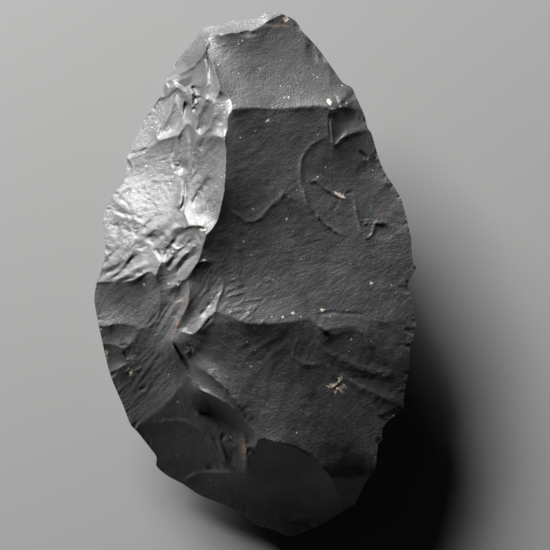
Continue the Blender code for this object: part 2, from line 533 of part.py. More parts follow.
def thinned(mesh, collection):
    """The same surface with only as many triangles as its ridges need."""
    dense = bpy.data.objects.new("dense_stone", mesh)
    collection.objects.link(dense)
    modifier = dense.modifiers.new("Thin", "DECIMATE")
    modifier.ratio = TRIANGLES / sum(len(polygon.vertices) - 2 for polygon in mesh.polygons)
    depsgraph = bpy.context.evaluated_depsgraph_get()
    light = bpy.data.meshes.new_from_object(dense.evaluated_get(depsgraph))
    bpy.data.objects.remove(dense)
    return light


def settle(mesh):
    """Flatten the rest spot, centre the stone over the origin and give it its driving size."""
    places = np.empty(len(mesh.vertices) * 3)
    mesh.vertices.foreach_get("co", places)
    places = places.reshape(-1, 3)
    places[places[:, 2] < NEAR_GROUND, 2] = 0
    low, high = places.min(axis=0), places.max(axis=0)
    foot = np.array([0.5 * (low[0] + high[0]), 0.5 * (low[1] + high[1]), low[2]])
    size = np.array([WIDTH, LENGTH, THICKNESS]) * MM
    mesh.vertices.foreach_set("co", ((places - foot) * size / (high - low)).ravel())


def main():
    for thing in list(bpy.data.objects):
        bpy.data.objects.remove(thing)
    collection = bpy.data.collections.new("hand_axe")
    bpy.context.scene.collection.children.link(collection)

    ball = bmesh.new()
    bmesh.ops.create_uvsphere(ball, u_segments=AROUND, v_segments=2 * RINGS, radius=1.0)
    dense = bpy.data.meshes.new("dense_stone")
    ball.to_mesh(dense)
    ball.free()
    shape_stone(dense)

    mesh = thinned(dense, collection)
    settle(mesh)
    mesh.materials.append(flint())
    mesh.shade_smooth()
    mesh.set_sharp_from_angle(angle=math.radians(SHARP_DEGREES))
    collection.objects.link(bpy.data.objects.new("hand_axe", mesh))


main()
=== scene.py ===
"""The black flint hand axe as it was photographed, lying on its back and seen from straight above.

The stone is shaped in its main scars as its plain solid is, and then gets the small scars, steps,
cracks, ripples and pits that show from close by.

The drawing units are millimetres, X to the right and Y towards the tip. The tables of small features
are drawn on a square grid of GRID millimetres with Y downwards, as laid over the stone from above.
"""

import math

import bmesh
import bpy
import numpy as np
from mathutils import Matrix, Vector


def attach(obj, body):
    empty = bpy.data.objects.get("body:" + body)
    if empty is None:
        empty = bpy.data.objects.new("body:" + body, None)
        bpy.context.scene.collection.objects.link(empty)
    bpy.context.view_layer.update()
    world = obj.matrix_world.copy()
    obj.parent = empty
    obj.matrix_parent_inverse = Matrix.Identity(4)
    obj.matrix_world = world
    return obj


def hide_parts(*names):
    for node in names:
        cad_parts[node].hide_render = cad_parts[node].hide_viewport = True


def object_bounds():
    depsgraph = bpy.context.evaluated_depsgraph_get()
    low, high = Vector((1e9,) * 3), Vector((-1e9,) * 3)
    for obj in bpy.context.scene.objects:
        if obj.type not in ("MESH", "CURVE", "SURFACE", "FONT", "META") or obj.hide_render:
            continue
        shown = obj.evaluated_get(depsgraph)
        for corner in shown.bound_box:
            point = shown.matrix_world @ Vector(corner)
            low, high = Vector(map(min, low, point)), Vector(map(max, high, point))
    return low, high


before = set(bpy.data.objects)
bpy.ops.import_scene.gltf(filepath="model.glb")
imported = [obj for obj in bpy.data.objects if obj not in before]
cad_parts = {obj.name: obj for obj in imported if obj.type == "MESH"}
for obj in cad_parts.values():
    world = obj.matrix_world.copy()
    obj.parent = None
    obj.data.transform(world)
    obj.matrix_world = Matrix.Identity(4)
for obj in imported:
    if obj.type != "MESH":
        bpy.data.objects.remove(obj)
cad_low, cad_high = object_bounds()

GRID = 0.2424
GRID_ZERO = np.array([255.2, 275.0])
MM = 0.001

# The back's section
REST_DEPTH = 0.7
SIDE_FULLNESS = 2.3
TIP_FULLNESS = 2.8
BUTT_FULLNESS = 4.0
EDGE_WEDGE = 14.0
THIN_FROM = 0.8
CENTRE = np.array([-1.0, -3.0])

# Fineness of the surface before and after it is thinned
CELLS = 520
TRIANGLES = 196000
TURNS = 1280
LOOP_STEPS = 4
NOISE_CELLS = 97
RIPPLE = 0.014
STREAKS = 0.013
RIPPLE_LENGTH = 0.75
STREAK_WIDTH = 0.9
PROBES = 16
BATCH = 4000
TINY = 1e-9
NEAR_GROUND = 0.03
DECIMALS = 4

# The stone's edge, clockwise from the left corner of the tip
TIP_EDGE = [(-12.5, 60.0), (-8.0, 60.4), (-6.3, 61.6), (-2.4, 61.8), (0.7, 62.5), (1.9, 63.5),
            (3.6, 63.9), (6.0, 63.5), (9.2, 62.1), (10.4, 60.8)]
RIGHT_EDGE = [(11.4, 59.1), (14.8, 55.5), (18.2, 50.9), (21.1, 46.8), (23.3, 45.6), (24.5, 43.0),
              (26.4, 38.8), (27.1, 35.9), (28.1, 34.4), (29.8, 28.6), (31.3, 25.0), (34.9, 19.4),
              (36.3, 15.0), (37.7, 9.0), (37.8, 6.1), (38.3, 2.9), (38.9, 1.9), (38.5, 0.8),
              (36.9, -2.3), (38.1, -6.5), (38.9, -12.3), (38.4, -14.4), (37.4, -18.0),
              (37.2, -22.1), (36.0, -29.3), (36.0, -31.7)]
BASE_EDGE = [(35.2, -32.7), (31.0, -36.6), (30.6, -40.0), (29.6, -41.1), (29.0, -47.5),
             (26.9, -49.9), (24.2, -55.5), (22.5, -56.5), (15.0, -61.3), (9.2, -63.5),
             (7.8, -63.6), (3.6, -61.8), (0.5, -61.1), (-5.3, -57.0), (-13.3, -53.8),
             (-17.7, -50.9), (-21.3, -49.0), (-24.2, -46.5), (-24.2, -44.1)]
LEFT_EDGE = [(-28.6, -38.3), (-30.5, -36.2), (-32.3, -31.5), (-35.3, -24.2), (-37.2, -16.2),
             (-39.1, -6.3), (-38.5, -1.7), (-37.4, 1.2), (-36.4, 6.3), (-37.1, 11.3),
             (-36.9, 13.9), (-35.5, 17.7), (-33.9, 20.5), (-32.1, 22.3), (-31.3, 25.0),
             (-31.0, 29.1), (-27.1, 37.6), (-23.5, 42.9), (-21.8, 47.0), (-19.1, 52.1),
             (-15.0, 56.7)]

# Heights of the front blank, as (x, y, z)
EDGE_HEIGHTS = [(-12.5, 60.0, 22.0), (10.0, 61.0, 21.0), (14.8, 55.5, 20.0), (21.0, 47.0, 20.0),
                (26.4, 38.8, 20.5), (31.3, 25.0, 20.5), (37.7, 9.0, 20.3), (37.0, -2.0, 19.5),
                (38.9, -12.0, 18.8), (37.0, -25.0, 18.2), (32.0, -36.0, 18.4),
                (29.2, -46.5, 18.5), (26.0, -52.0, 14.0), (20.0, -59.0, 8.5),
                (9.0, -63.6, 6.0), (-5.0, -57.0, 5.0), (-18.0, -51.0, 5.0),
                (-25.0, -44.0, 8.0), (-31.0, -36.0, 10.5), (-35.5, -24.0, 14.5),
                (-39.0, -6.0, 20.0), (-37.0, 5.0, 21.0), (-37.0, 13.0, 19.5),
                (-33.0, 21.0, 18.5), (-31.0, 29.0, 17.0), (-25.0, 40.0, 17.5),
                (-19.0, 52.0, 18.5)]
TIP_HEIGHTS = [(-11.0, 58.2, 26.2), (-1.2, 59.2, 26.1), (4.0, 61.5, 24.0), (-12.0, 63.0, 21.0),
               (-1.0, 66.0, 19.4), (7.0, 66.5, 19.4)]
ARRIS_HEIGHTS = [(-11.9, 54.1, 27.8), (-9.9, 49.9, 29.8), (-8.7, 44.5, 31.9), (-5.6, 40.0, 33.4),
                 (-7.5, 33.0, 34.0), (-7.5, 23.0, 34.9), (-8.5, 16.0, 35.5), (-12.0, 10.0, 34.8),
                 (-8.0, 2.0, 35.5), (-9.0, -8.0, 34.5)]
RIGHT_HEIGHTS = [(1.7, 40.4, 29.9), (9.9, 40.5, 27.9), (17.0, 40.5, 26.2), (19.0, 32.0, 26.2),
                 (11.0, 25.0, 30.8), (20.9, 10.0, 27.6), (29.0, 13.5, 24.0), (6.5, 19.2, 32.8),
                 (-1.2, 13.0, 34.8), (11.0, 4.0, 31.0), (23.0, 1.0, 26.8), (-1.5, -11.5, 32.6),
                 (9.5, -11.0, 29.9), (22.0, -9.5, 26.2), (33.0, -10.5, 22.0),
                 (20.0, -26.0, 24.0), (30.0, -31.0, 20.0)]
LEFT_HEIGHTS = [(-18.7, 45.3, 21.5), (-15.8, 50.4, 22.5), (-24.0, 35.0, 20.3),
                (-15.5, 37.0, 26.5), (-17.5, 22.0, 27.0), (-18.0, 17.5, 28.5),
                (-27.0, 12.0, 24.9), (-30.0, 15.0, 22.5), (-20.4, 7.0, 30.0), (-24.0, 0.2, 29.6),
                (-28.0, -1.0, 27.0), (-16.0, -4.0, 32.0), (-23.0, -4.0, 28.5),
                (-25.7, -12.0, 24.5), (-30.8, -16.3, 20.5), (-33.0, -22.0, 16.8),
                (-20.1, -16.0, 28.0), (-17.7, -25.0, 23.5), (-20.0, -29.3, 19.8),
                (-24.0, -33.0, 15.0)]
BASE_HEIGHTS = [(-14.3, -27.4, 26.5), (-6.1, -31.5, 28.2), (-6.5, -28.0, 29.3),
                (-2.2, -35.6, 27.2), (0.5, -39.8, 26.8), (12.0, -42.5, 24.0),
                (18.4, -49.2, 20.2), (-2.2, -48.2, 15.5), (-11.6, -48.2, 9.5)]
PEG_ROUNDING = 3.0


def smooth_loop(points, softness=1.0, steps=LOOP_STEPS):
    """Closed curve through the points. Softness 0 leaves straight sides and sharp corners."""
    here = np.array(points, float)
    after = np.roll(here, -1, axis=0)
    before = np.roll(here, 1, axis=0)
    reach = np.minimum(np.hypot(*(after - here).T), np.hypot(*(here - before).T))
    chord = after - before
    tangent = chord * (softness * reach / np.hypot(*chord.T))[:, None]
    t = (np.arange(steps) / steps)[None, :, None]
    curve = ((2 * t**3 - 3 * t**2 + 1) * here[:, None] + (t**3 - 2 * t**2 + t) * tangent[:, None]
             + (3 * t**2 - 2 * t**3) * after[:, None]
             + (t**3 - t**2) * np.roll(tangent, -1, axis=0)[:, None])
    return curve.reshape(-1, 2)


def inside(points, loop):
    """Which of the points lie inside a closed loop."""
    low, high = loop.min(axis=0), loop.max(axis=0)
    near = np.flatnonzero(((points >= low) & (points <= high)).all(axis=1))
    after = np.roll(loop, -1, axis=0)
    run = after - loop
    run[run[:, 1] == 0, 1] = 1e-12
    odd = np.zeros(len(near), bool)
    for start, end, step in zip(loop, after, run):
        y = points[near, 1]
        crosses = (start[1] > y) != (end[1] > y)
        odd ^= crosses & (points[near, 0] < start[0] + (y - start[1]) * step[0] / step[1])
    return near[odd]


def rim_weights(points, loop):
    """How strongly each corner of a loop pulls at each point inside it.

    The pull is the inverse square of the distance, summed exactly along the loop's sides.
    """
    after = np.roll(loop, -1, axis=0)
    side = np.hypot(*(after - loop).T)
    along = (after - loop) / side[:, None]
    ray_x = loop[:, 0] - points[:, :1]
    ray_y = loop[:, 1] - points[:, 1:]
    reach = np.hypot(ray_x, ray_y) + TINY
    next_reach = np.roll(reach, -1, axis=1)
    foot = -(ray_x * along[:, 0] + ray_y * along[:, 1]) / side
    off_line = np.abs(ray_x * along[:, 1] - ray_y * along[:, 0])
    sine = np.clip(side * off_line / (reach * next_reach), TINY, 1)
    cosine = (ray_x * np.roll(ray_x, -1, axis=1) + ray_y * np.roll(ray_y, -1, axis=1))
    whole = side * np.arctan2(sine, cosine / (reach * next_reach)) / (sine * reach * next_reach)
    later = whole * foot + np.log(next_reach / reach) / side
    return (whole - later) + np.roll(later, 1, axis=1)


def distance_to_loop(points, loop):
    """Shortest distance from each point to the loop's sides."""
    run = np.roll(loop, -1, axis=0) - loop
    gap = points[:, None] - loop[None]
    share = np.clip((gap * run).sum(axis=2) / ((run**2).sum(axis=1) + 1e-12), 0, 1)
    off = gap - share[..., None] * run
    return np.hypot(off[..., 0], off[..., 1]).min(axis=1)


def ease(value):
    """Smooth step from 0 to 1."""
    value = np.clip(value, 0, 1)
    return value * value * (3 - 2 * value)


class Noise:
    """Smooth seeded noise over the plane, from about -1 to 1."""

    def __init__(self, seed):
        self.values = np.random.default_rng(seed).uniform(-1, 1, (NOISE_CELLS, NOISE_CELLS))

    def __call__(self, x, y):
        column, row = np.floor(x).astype(int), np.floor(y).astype(int)
        u, v = x - column, y - row
        u, v = u * u * (3 - 2 * u), v * v * (3 - 2 * v)
        left, low = column % NOISE_CELLS, row % NOISE_CELLS
        right, high = (left + 1) % NOISE_CELLS, (low + 1) % NOISE_CELLS
        values = self.values
        below = values[low, left] * (1 - u) + values[low, right] * u
        above = values[high, left] * (1 - u) + values[high, right] * u
        return below * (1 - v) + above * v


WARP = Noise(11)
STREAK = Noise(12)
SWELL = Noise(13)
GRAIN = Noise(14)


class Scar:
    """The hollow that one flake leaves inside its rim, with its ripples and fine radial streaks."""

    def __init__(self, face, rim, hollow, deep, lip, wall, softness, source, ripple, streak):
        self.loop = smooth_loop(rim, softness)
        self.middle = self.loop.mean(axis=0)
        self.size = np.hypot(*(self.loop - self.middle).T).mean()
        self.hollow, self.deep, self.lip, self.wall = hollow, np.array(deep), np.array(lip), wall
        if source is None:
            share, _ = EDGE.share_and_angle(self.loop)
            source = self.loop[share.argmax()]
        self.source = np.array(source)
        self.reach = np.hypot(*(self.loop - self.source).T).max()
        self.ripple, self.streak = ripple, streak
        heights = face.height(self.loop)
        level = np.column_stack([self.loop - self.middle, np.ones(len(self.loop))])
        self.plane = np.linalg.lstsq(level, heights, rcond=None)[0]
        self.residual = heights - level @ self.plane
        low, high = self.loop.min(axis=0), self.loop.max(axis=0)
        steps = np.linspace(0, 1, PROBES)
        grid = np.stack(np.meshgrid(steps, steps), axis=-1).reshape(-1, 2) * (high - low) + low
        probes = grid[inside(grid, self.loop)]
        self.depth = 1 / rim_weights(probes, self.loop).sum(axis=1).min()

    def relief(self, points):
        """Ripples around the point that was struck and streaks that run away from it."""
        off = points - self.source
        away = np.hypot(*off.T)
        x, y = points.T
        length = RIPPLE_LENGTH * self.size**0.6
        bent = away + 0.35 * length * WARP(x / 6, y / 6) + 0.12 * length * WARP(x / 2, y / 2)
        phase = 2 * math.pi * bent / length
        wave = np.sin(phase + 0.7 * np.sin(phase)) * (0.55 + 0.45 * SWELL(x / 7, y / 7))
        turn = np.arctan2(off[:, 1], off[:, 0])
        across = turn * max(self.reach, 4.0) / STREAK_WIDTH
        across += 0.7 * WARP(x / 3, y / 3 + 40) + 0.3 * WARP(x / 1.2 + 20, y / 1.2)
        lines = (0.6 * STREAK(across, away / 5) + 0.7 * STREAK(2.1 * across + 31, away / 2.2)
                 + 0.5 * STREAK(3.9 * across + 57, away / 1.3))
        share = np.minimum(away / self.reach, 1)
        return (self.ripple * self.size**0.5 * wave * (0.3 + 0.7 * share)
                + self.streak * self.size**0.3 * lines * (0.25 + 0.75 * share))

    def height(self, points):
        off = points - self.middle
        weights = rim_weights(points, self.loop)
        total = weights.sum(axis=1)
        bowl = 1 / (total * self.depth)
        height = off @ self.plane[:2] + self.plane[2] + weights @ self.residual / total
        height -= self.hollow * (1 + off @ self.deep / self.size) * bowl
        height += self.relief(points) * ease(bowl * 5)
        if self.lip.any():
            drop = np.maximum(off @ self.lip / self.size, 0)
            height -= drop * ease(distance_to_loop(points, self.loop) / self.wall)
        return height


class Face:
    """One side of the stone: a smooth blank and the scars struck on it, oldest first."""

    def __init__(self, blank):
        self.blank = blank
        self.scars = []

    def strike(self, hollow, rim, deep=(0.0, 0.0), lip=(0.0, 0.0), wall=0.8,
               softness=1.0, source=None, ripple=RIPPLE, streak=STREAKS):
        self.scars.append(Scar(self, rim, hollow, deep, lip, wall, softness, source, ripple,
                               streak))

    def height(self, points):
        youngest = np.full(len(points), -1)
        for index, scar in enumerate(self.scars):
            youngest[inside(points, scar.loop)] = index
        order = np.argsort(youngest, kind="stable")
        ends = np.searchsorted(youngest[order], np.arange(len(self.scars) + 1))
        height = np.empty(len(points))
        bare = order[:ends[0]]
        height[bare] = self.blank(points[bare])
        for scar, first, last in zip(self.scars, ends[:-1], ends[1:]):
            for start in range(first, last, BATCH):
                part = order[start:min(start + BATCH, last)]
                height[part] = scar.height(points[part])
        return height


def pegged_surface(pegs):
    """A smooth surface through the pegs, as a function of plan position."""
    pegs = np.array(pegs)
    places, heights = pegs[:, :2], pegs[:, 2]

    def spread(points):
        gap = points[:, None] - places[None]
        return np.sqrt((gap**2).sum(axis=2) + PEG_ROUNDING**2)

    level = heights.mean()
    pull = np.linalg.solve(spread(places), heights - level)
    return lambda points: level + spread(points) @ pull


class Edge:
    """The stone's outline as a radius about the centre."""

    def __init__(self):
        outline = smooth_loop(TIP_EDGE + RIGHT_EDGE + BASE_EDGE + LEFT_EDGE) - CENTRE
        angle = np.arctan2(outline[:, 1], outline[:, 0])
        order = np.argsort(angle)
        self.angle, self.radius = angle[order], np.hypot(*outline.T)[order]

    def radius_at(self, angle):
        return np.interp(angle, self.angle, self.radius, period=2 * math.pi)

    def point(self, angle, share=1.0):
        reach = share * self.radius_at(angle)
        return CENTRE + np.stack([reach * np.cos(angle), reach * np.sin(angle)], axis=-1)

    def share_and_angle(self, points):
        off = points - CENTRE
        angle = np.arctan2(off[:, 1], off[:, 0])
        return np.hypot(*off.T) / self.radius_at(angle), angle


EDGE = Edge()


def strike_middle(front):
    """The broad scars of the plateau right of the main ridge."""
    front.strike(0.6, [(-7.5, 30.3), (-7.5, 20.6), (-11.9, 9.9), (-14.3, 4.1), (-15.8, -3.6),
                       (-13.3, -13.3), (-3.6, -13.3), (10.9, -13.3), (25.5, -13.3),
                       (41.2, -14.5), (42.4, -1.2), (41.2, 10.9), (35.1, 27.9), (27.9, 35.1),
                       (18.2, 37.6), (6.1, 40.0), (-4.6, 39.5)],
                 source=(70.0, 25.0), ripple=0.004)
    front.strike(0.5, [(-11.0, 58.2), (-1.2, 59.1), (3.2, 61.8), (6.5, 63.3), (12.0, 62.0),
                       (16.0, 55.5), (19.0, 51.0), (18.0, 48.5), (19.0, 43.6), (17.0, 40.7),
                       (9.9, 40.5), (1.7, 40.4), (-5.6, 40.0), (-8.7, 44.4), (-9.9, 49.9),
                       (-11.9, 54.1)], source=(60.0, 72.0), ripple=0.004)
    front.strike(0.5, [(-5.6, 40.0), (6.1, 40.5), (17.7, 40.5), (18.7, 32.7), (15.3, 25.5),
                       (11.4, 18.9), (8.5, 18.7), (6.5, 19.4), (2.9, 16.0), (-1.2, 12.8),
                       (-4.6, 14.5), (-7.3, 20.1), (-7.3, 33.9)], deep=(0.0, 0.3),
                 source=(50.0, 52.0), ripple=0.004)
    front.strike(0.4, [(19.2, 31.5), (16.9, 34.1), (14.3, 33.0), (12.4, 31.3), (10.9, 28.6),
                       (10.9, 25.0), (11.5, 19.2), (15.5, 14.3), (20.9, 9.9), (25.7, 9.7),
                       (36.0, 10.5), (36.5, 23.0), (28.5, 35.0), (25.7, 35.4), (22.5, 34.7),
                       (20.6, 33.0)],
                 source=(60.0, 20.0), ripple=0.004, streak=0.008)


def strike_right_edge(front):
    """The smaller scars down the right edge."""
    front.strike(0.4, [(17.9, 39.5), (20.1, 40.7), (23.0, 40.5), (26.5, 40.0), (28.5, 35.5),
                       (25.7, 35.4), (22.5, 34.7), (20.6, 33.0), (19.2, 31.5), (18.4, 33.2),
                       (18.2, 36.4)], softness=0.5, lip=(-0.2, 0.0))
    front.strike(0.5, [(18.7, 44.8), (21.8, 45.8), (25.0, 45.5), (25.0, 43.0), (21.6, 42.2),
                       (19.5, 41.2), (18.4, 43.0)], lip=(-0.1, -0.2))
    front.strike(0.3, [(11.9, 55.5), (12.4, 53.3), (13.8, 51.6), (15.8, 51.6), (18.5, 52.5),
                       (15.5, 57.0), (12.6, 58.0)])
    front.strike(0.4, [(17.4, 51.6), (17.9, 48.5), (18.4, 45.3), (23.5, 45.0), (21.5, 50.0),
                       (18.5, 53.5)])
    front.strike(0.4, [(24.7, 24.0), (27.9, 23.5), (31.5, 22.5), (34.0, 20.6), (35.5, 23.5),
                       (32.0, 29.5), (30.0, 31.0), (26.9, 28.4), (25.0, 26.7)])
    front.strike(0.3, [(28.4, 18.2), (29.3, 15.3), (31.3, 12.6), (33.5, 10.4), (38.5, 12.0),
                       (37.5, 18.0), (35.0, 23.0), (30.3, 21.1)])
    front.strike(0.35, [(23.2, 18.9), (24.0, 14.1), (25.7, 9.7), (26.9, 9.2), (27.9, 9.7),
                       (28.8, 12.1), (29.1, 13.5), (28.4, 15.0), (26.9, 18.2), (25.0, 20.1)])
    front.strike(0.2, [(29.1, 12.8), (31.3, 12.6), (33.5, 10.4), (32.0, 8.5), (29.0, 9.0),
                       (27.9, 9.5)])


def strike_lower_face(front):
    """The large lower scar, its bevel by the notch and the group of scars at its right."""
    front.strike(-0.5, [(-20.1, -16.0), (-13.3, -12.8), (-9.5, -8.7), (-1.5, -11.6),
                       (9.2, -11.1), (13.6, -10.2), (19.0, -16.0), (23.0, -23.5),
                       (35.1, -31.5), (37.0, -37.5), (32.0, -41.5), (30.5, -48.5),
                       (27.9, -48.7), (23.0, -49.5), (18.4, -49.2), (15.5, -45.6),
                       (11.9, -42.4), (5.1, -40.2), (0.5, -39.8), (-3.6, -32.2),
                       (-6.5, -27.9), (-11.9, -23.3), (-17.5, -20.1)],
                 source=(60.0, -60.0), ripple=0.010)
    front.strike(0.0, [(11.5, -9.7), (17.7, -9.2), (25.5, -9.5), (28.4, -10.7), (31.0, -11.3),
                       (35.0, -10.7), (40.0, -12.6), (40.0, -18.2), (30.3, -20.4),
                       (26.9, -15.8), (24.5, -13.3), (19.6, -13.8), (16.5, -13.3),
                       (13.6, -10.2)])
    front.strike(0.05, [(9.5, -14.8), (9.0, -18.7), (9.9, -20.8), (12.4, -21.6), (17.2, -21.6),
                       (18.9, -19.9), (16.3, -17.0), (15.0, -13.3), (13.6, -10.9),
                       (10.9, -11.4)])
    front.strike(0.0, [(16.5, -13.3), (19.6, -13.8), (24.5, -13.3), (26.9, -15.8),
                       (30.3, -20.4), (38.5, -24.5), (35.4, -24.5), (31.0, -23.5),
                       (26.5, -22.0), (21.3, -20.1), (19.2, -19.9), (16.3, -17.0),
                       (15.8, -14.5)])
    front.strike(0.05, [(19.2, -19.9), (21.3, -20.1), (26.5, -22.0), (31.0, -23.5),
                       (35.4, -24.5), (38.5, -26.0), (38.0, -32.0), (35.1, -31.5),
                       (29.6, -28.4), (24.5, -25.9), (21.8, -25.0), (18.9, -23.0)])
    front.strike(0.2, [(-20.1, -16.0), (-17.5, -20.1), (-11.9, -23.3), (-6.5, -27.9),
                       (-3.6, -32.2), (0.5, -39.8), (-2.2, -35.6), (-6.1, -31.5),
                       (-11.4, -28.4), (-14.3, -27.1), (-16.7, -21.6)],
                 lip=(-0.4, -0.4))


def strike_upper_left(front):
    """The tip's left facet, the rough ground below it and the first edge scars."""
    front.strike(0.6, [(-23.5, 44.0), (-18.7, 45.3), (-20.1, 41.7), (-21.3, 38.3),
                       (-24.0, 36.4), (-24.2, 33.9), (-23.7, 32.5), (-25.7, 31.8),
                       (-27.9, 30.5), (-31.0, 28.4), (-34.0, 30.5), (-28.0, 41.5)])
    front.strike(0.6, [(-18.7, 45.3), (-16.3, 47.3), (-15.3, 43.6), (-14.0, 41.2),
                       (-15.3, 37.8), (-19.2, 34.2), (-23.0, 33.5), (-24.0, 36.4),
                       (-21.3, 38.3), (-20.1, 41.7)])
    front.strike(0.5, [(-13.5, 52.4), (-11.9, 48.5), (-11.6, 44.8), (-13.6, 41.7),
                       (-15.8, 44.4), (-16.7, 48.2)])
    front.strike(0.3, [(-8.7, 44.4), (-6.4, 43.0), (-5.6, 40.1), (-6.7, 38.3), (-7.3, 33.9),
                       (-12.1, 32.7), (-13.6, 34.2), (-11.6, 35.1), (-9.9, 39.3),
                       (-10.2, 42.2)])
    front.strike(0.4, [(-11.9, 54.1), (-9.9, 49.9), (-8.7, 44.8), (-10.4, 42.2),
                       (-12.4, 43.4), (-11.1, 47.8), (-12.6, 52.1)])
    front.strike(0.7, [(-11.6, 42.2), (-9.9, 40.7), (-10.2, 38.1), (-11.6, 35.1),
                       (-13.8, 34.2), (-14.3, 37.1), (-13.3, 40.0)])
    front.strike(0.7, [(-11.0, 58.2), (-11.6, 56.5), (-12.4, 54.1), (-13.5, 52.4),
                       (-15.8, 50.4), (-18.7, 47.8), (-20.1, 46.8), (-21.8, 47.0),
                       (-25.0, 47.5), (-20.0, 56.0), (-13.5, 61.5)])


def strike_left_flank(front):
    """The bright scars between the left edge and the main ridge."""
    front.strike(0.9, [(-15.3, 30.3), (-13.3, 33.2), (-7.5, 32.7), (-7.4, 23.0), (-7.7, 19.6),
                       (-9.2, 13.3), (-11.9, 9.9), (-12.8, 11.9), (-15.8, 12.1),
                       (-17.0, 14.8), (-17.9, 17.5), (-17.2, 19.2), (-17.5, 24.0)],
                 deep=(0.2, 0.0), source=(25.0, 90.0), ripple=0.006, streak=0.034)
    front.strike(1.2, [(-31.3, 27.9), (-27.9, 30.5), (-23.7, 32.5), (-19.4, 33.7),
                       (-16.7, 33.2), (-15.8, 30.3), (-16.7, 26.7), (-17.5, 21.8),
                       (-17.7, 19.2), (-18.9, 16.5), (-21.6, 12.8), (-24.2, 10.8),
                       (-26.9, 11.9), (-29.2, 13.6), (-30.5, 16.2), (-33.7, 19.6),
                       (-37.0, 21.0), (-34.0, 27.9)], deep=(0.0, 0.5), lip=(0.3, 0.0),
                 source=(-90.0, 0.0), ripple=0.008, streak=0.026)
    front.strike(0.6, [(-33.7, 19.6), (-30.5, 16.2), (-29.2, 13.6), (-26.9, 11.9),
                       (-29.6, 7.8), (-32.7, 3.2), (-37.6, 0.7), (-41.0, 1.0), (-40.5, 18.0),
                       (-36.5, 21.0)])
    front.strike(0.6, [(-26.9, 11.9), (-24.2, 10.9), (-21.6, 12.8), (-17.9, 17.2),
                       (-17.0, 14.8), (-16.5, 11.9), (-20.4, 7.0), (-23.0, 3.2),
                       (-24.0, 0.2), (-27.9, 0.0), (-32.7, -0.7), (-38.3, -1.7),
                       (-41.0, 0.5), (-32.7, 3.2), (-29.6, 7.8)])
    front.strike(0.7, [(-17.0, 11.6), (-12.8, 11.9), (-11.9, 9.9), (-14.0, 3.2),
                       (-17.0, -1.0), (-19.4, -2.4), (-23.0, -3.6), (-24.0, 0.2),
                       (-20.4, 7.0)], lip=(0.0, 0.3))


def strike_lower_left(front):
    """The scars below them, down to the notch."""
    front.strike(0.9, [(-23.0, -4.1), (-19.4, -3.2), (-16.3, -7.0), (-17.2, -9.0),
                       (-20.1, -16.0), (-17.5, -21.8), (-17.7, -24.7), (-19.9, -29.3),
                       (-23.8, -33.0), (-29.6, -37.3), (-35.0, -36.5), (-39.5, -24.2),
                       (-35.4, -24.2), (-33.0, -22.3), (-30.8, -16.5), (-28.6, -13.3),
                       (-25.7, -12.1), (-24.0, -8.2)],
                 source=(-75.0, -75.0), ripple=0.006, streak=0.028)
    front.strike(1.0, [(-38.3, -1.6), (-29.8, -1.2), (-25.7, 1.1), (-23.5, -1.6),
                       (-23.0, -4.1), (-24.0, -8.1), (-25.7, -12.1), (-29.3, -12.7),
                       (-35.9, -12.1), (-41.0, -12.1), (-41.5, -2.0)], lip=(0.1, 0.3),
                 source=(-80.0, -60.0), ripple=0.008, streak=0.024)
    front.strike(0.5, [(-36.4, -12.4), (-28.5, -13.3), (-29.3, -14.8), (-30.8, -16.2),
                       (-33.2, -17.2), (-39.0, -17.7), (-40.0, -12.8)])
    front.strike(0.7, [(-37.0, -17.0), (-33.2, -17.2), (-31.0, -20.6), (-33.0, -22.3),
                       (-35.4, -24.5), (-39.0, -25.0), (-39.5, -17.5)], softness=0.5)
    front.strike(0.4, [(-19.4, -2.7), (-18.4, -1.2), (-16.7, -1.9), (-16.0, -4.1),
                       (-16.3, -6.5), (-18.7, -6.8), (-21.1, -5.1)], lip=(-0.1, 0.3))
    front.strike(0.5, [(-13.6, 3.2), (-10.7, 3.2), (-9.2, 1.7), (-8.0, -0.5), (-7.8, -2.9),
                       (-9.0, -7.8), (-11.9, -10.9), (-15.0, -14.1), (-17.9, -13.6),
                       (-20.1, -16.0), (-18.7, -11.9), (-16.3, -7.0), (-16.0, -3.6),
                       (-16.7, -1.2), (-15.0, 1.7)],
                 source=(-50.0, -80.0), ripple=0.006, streak=0.030)


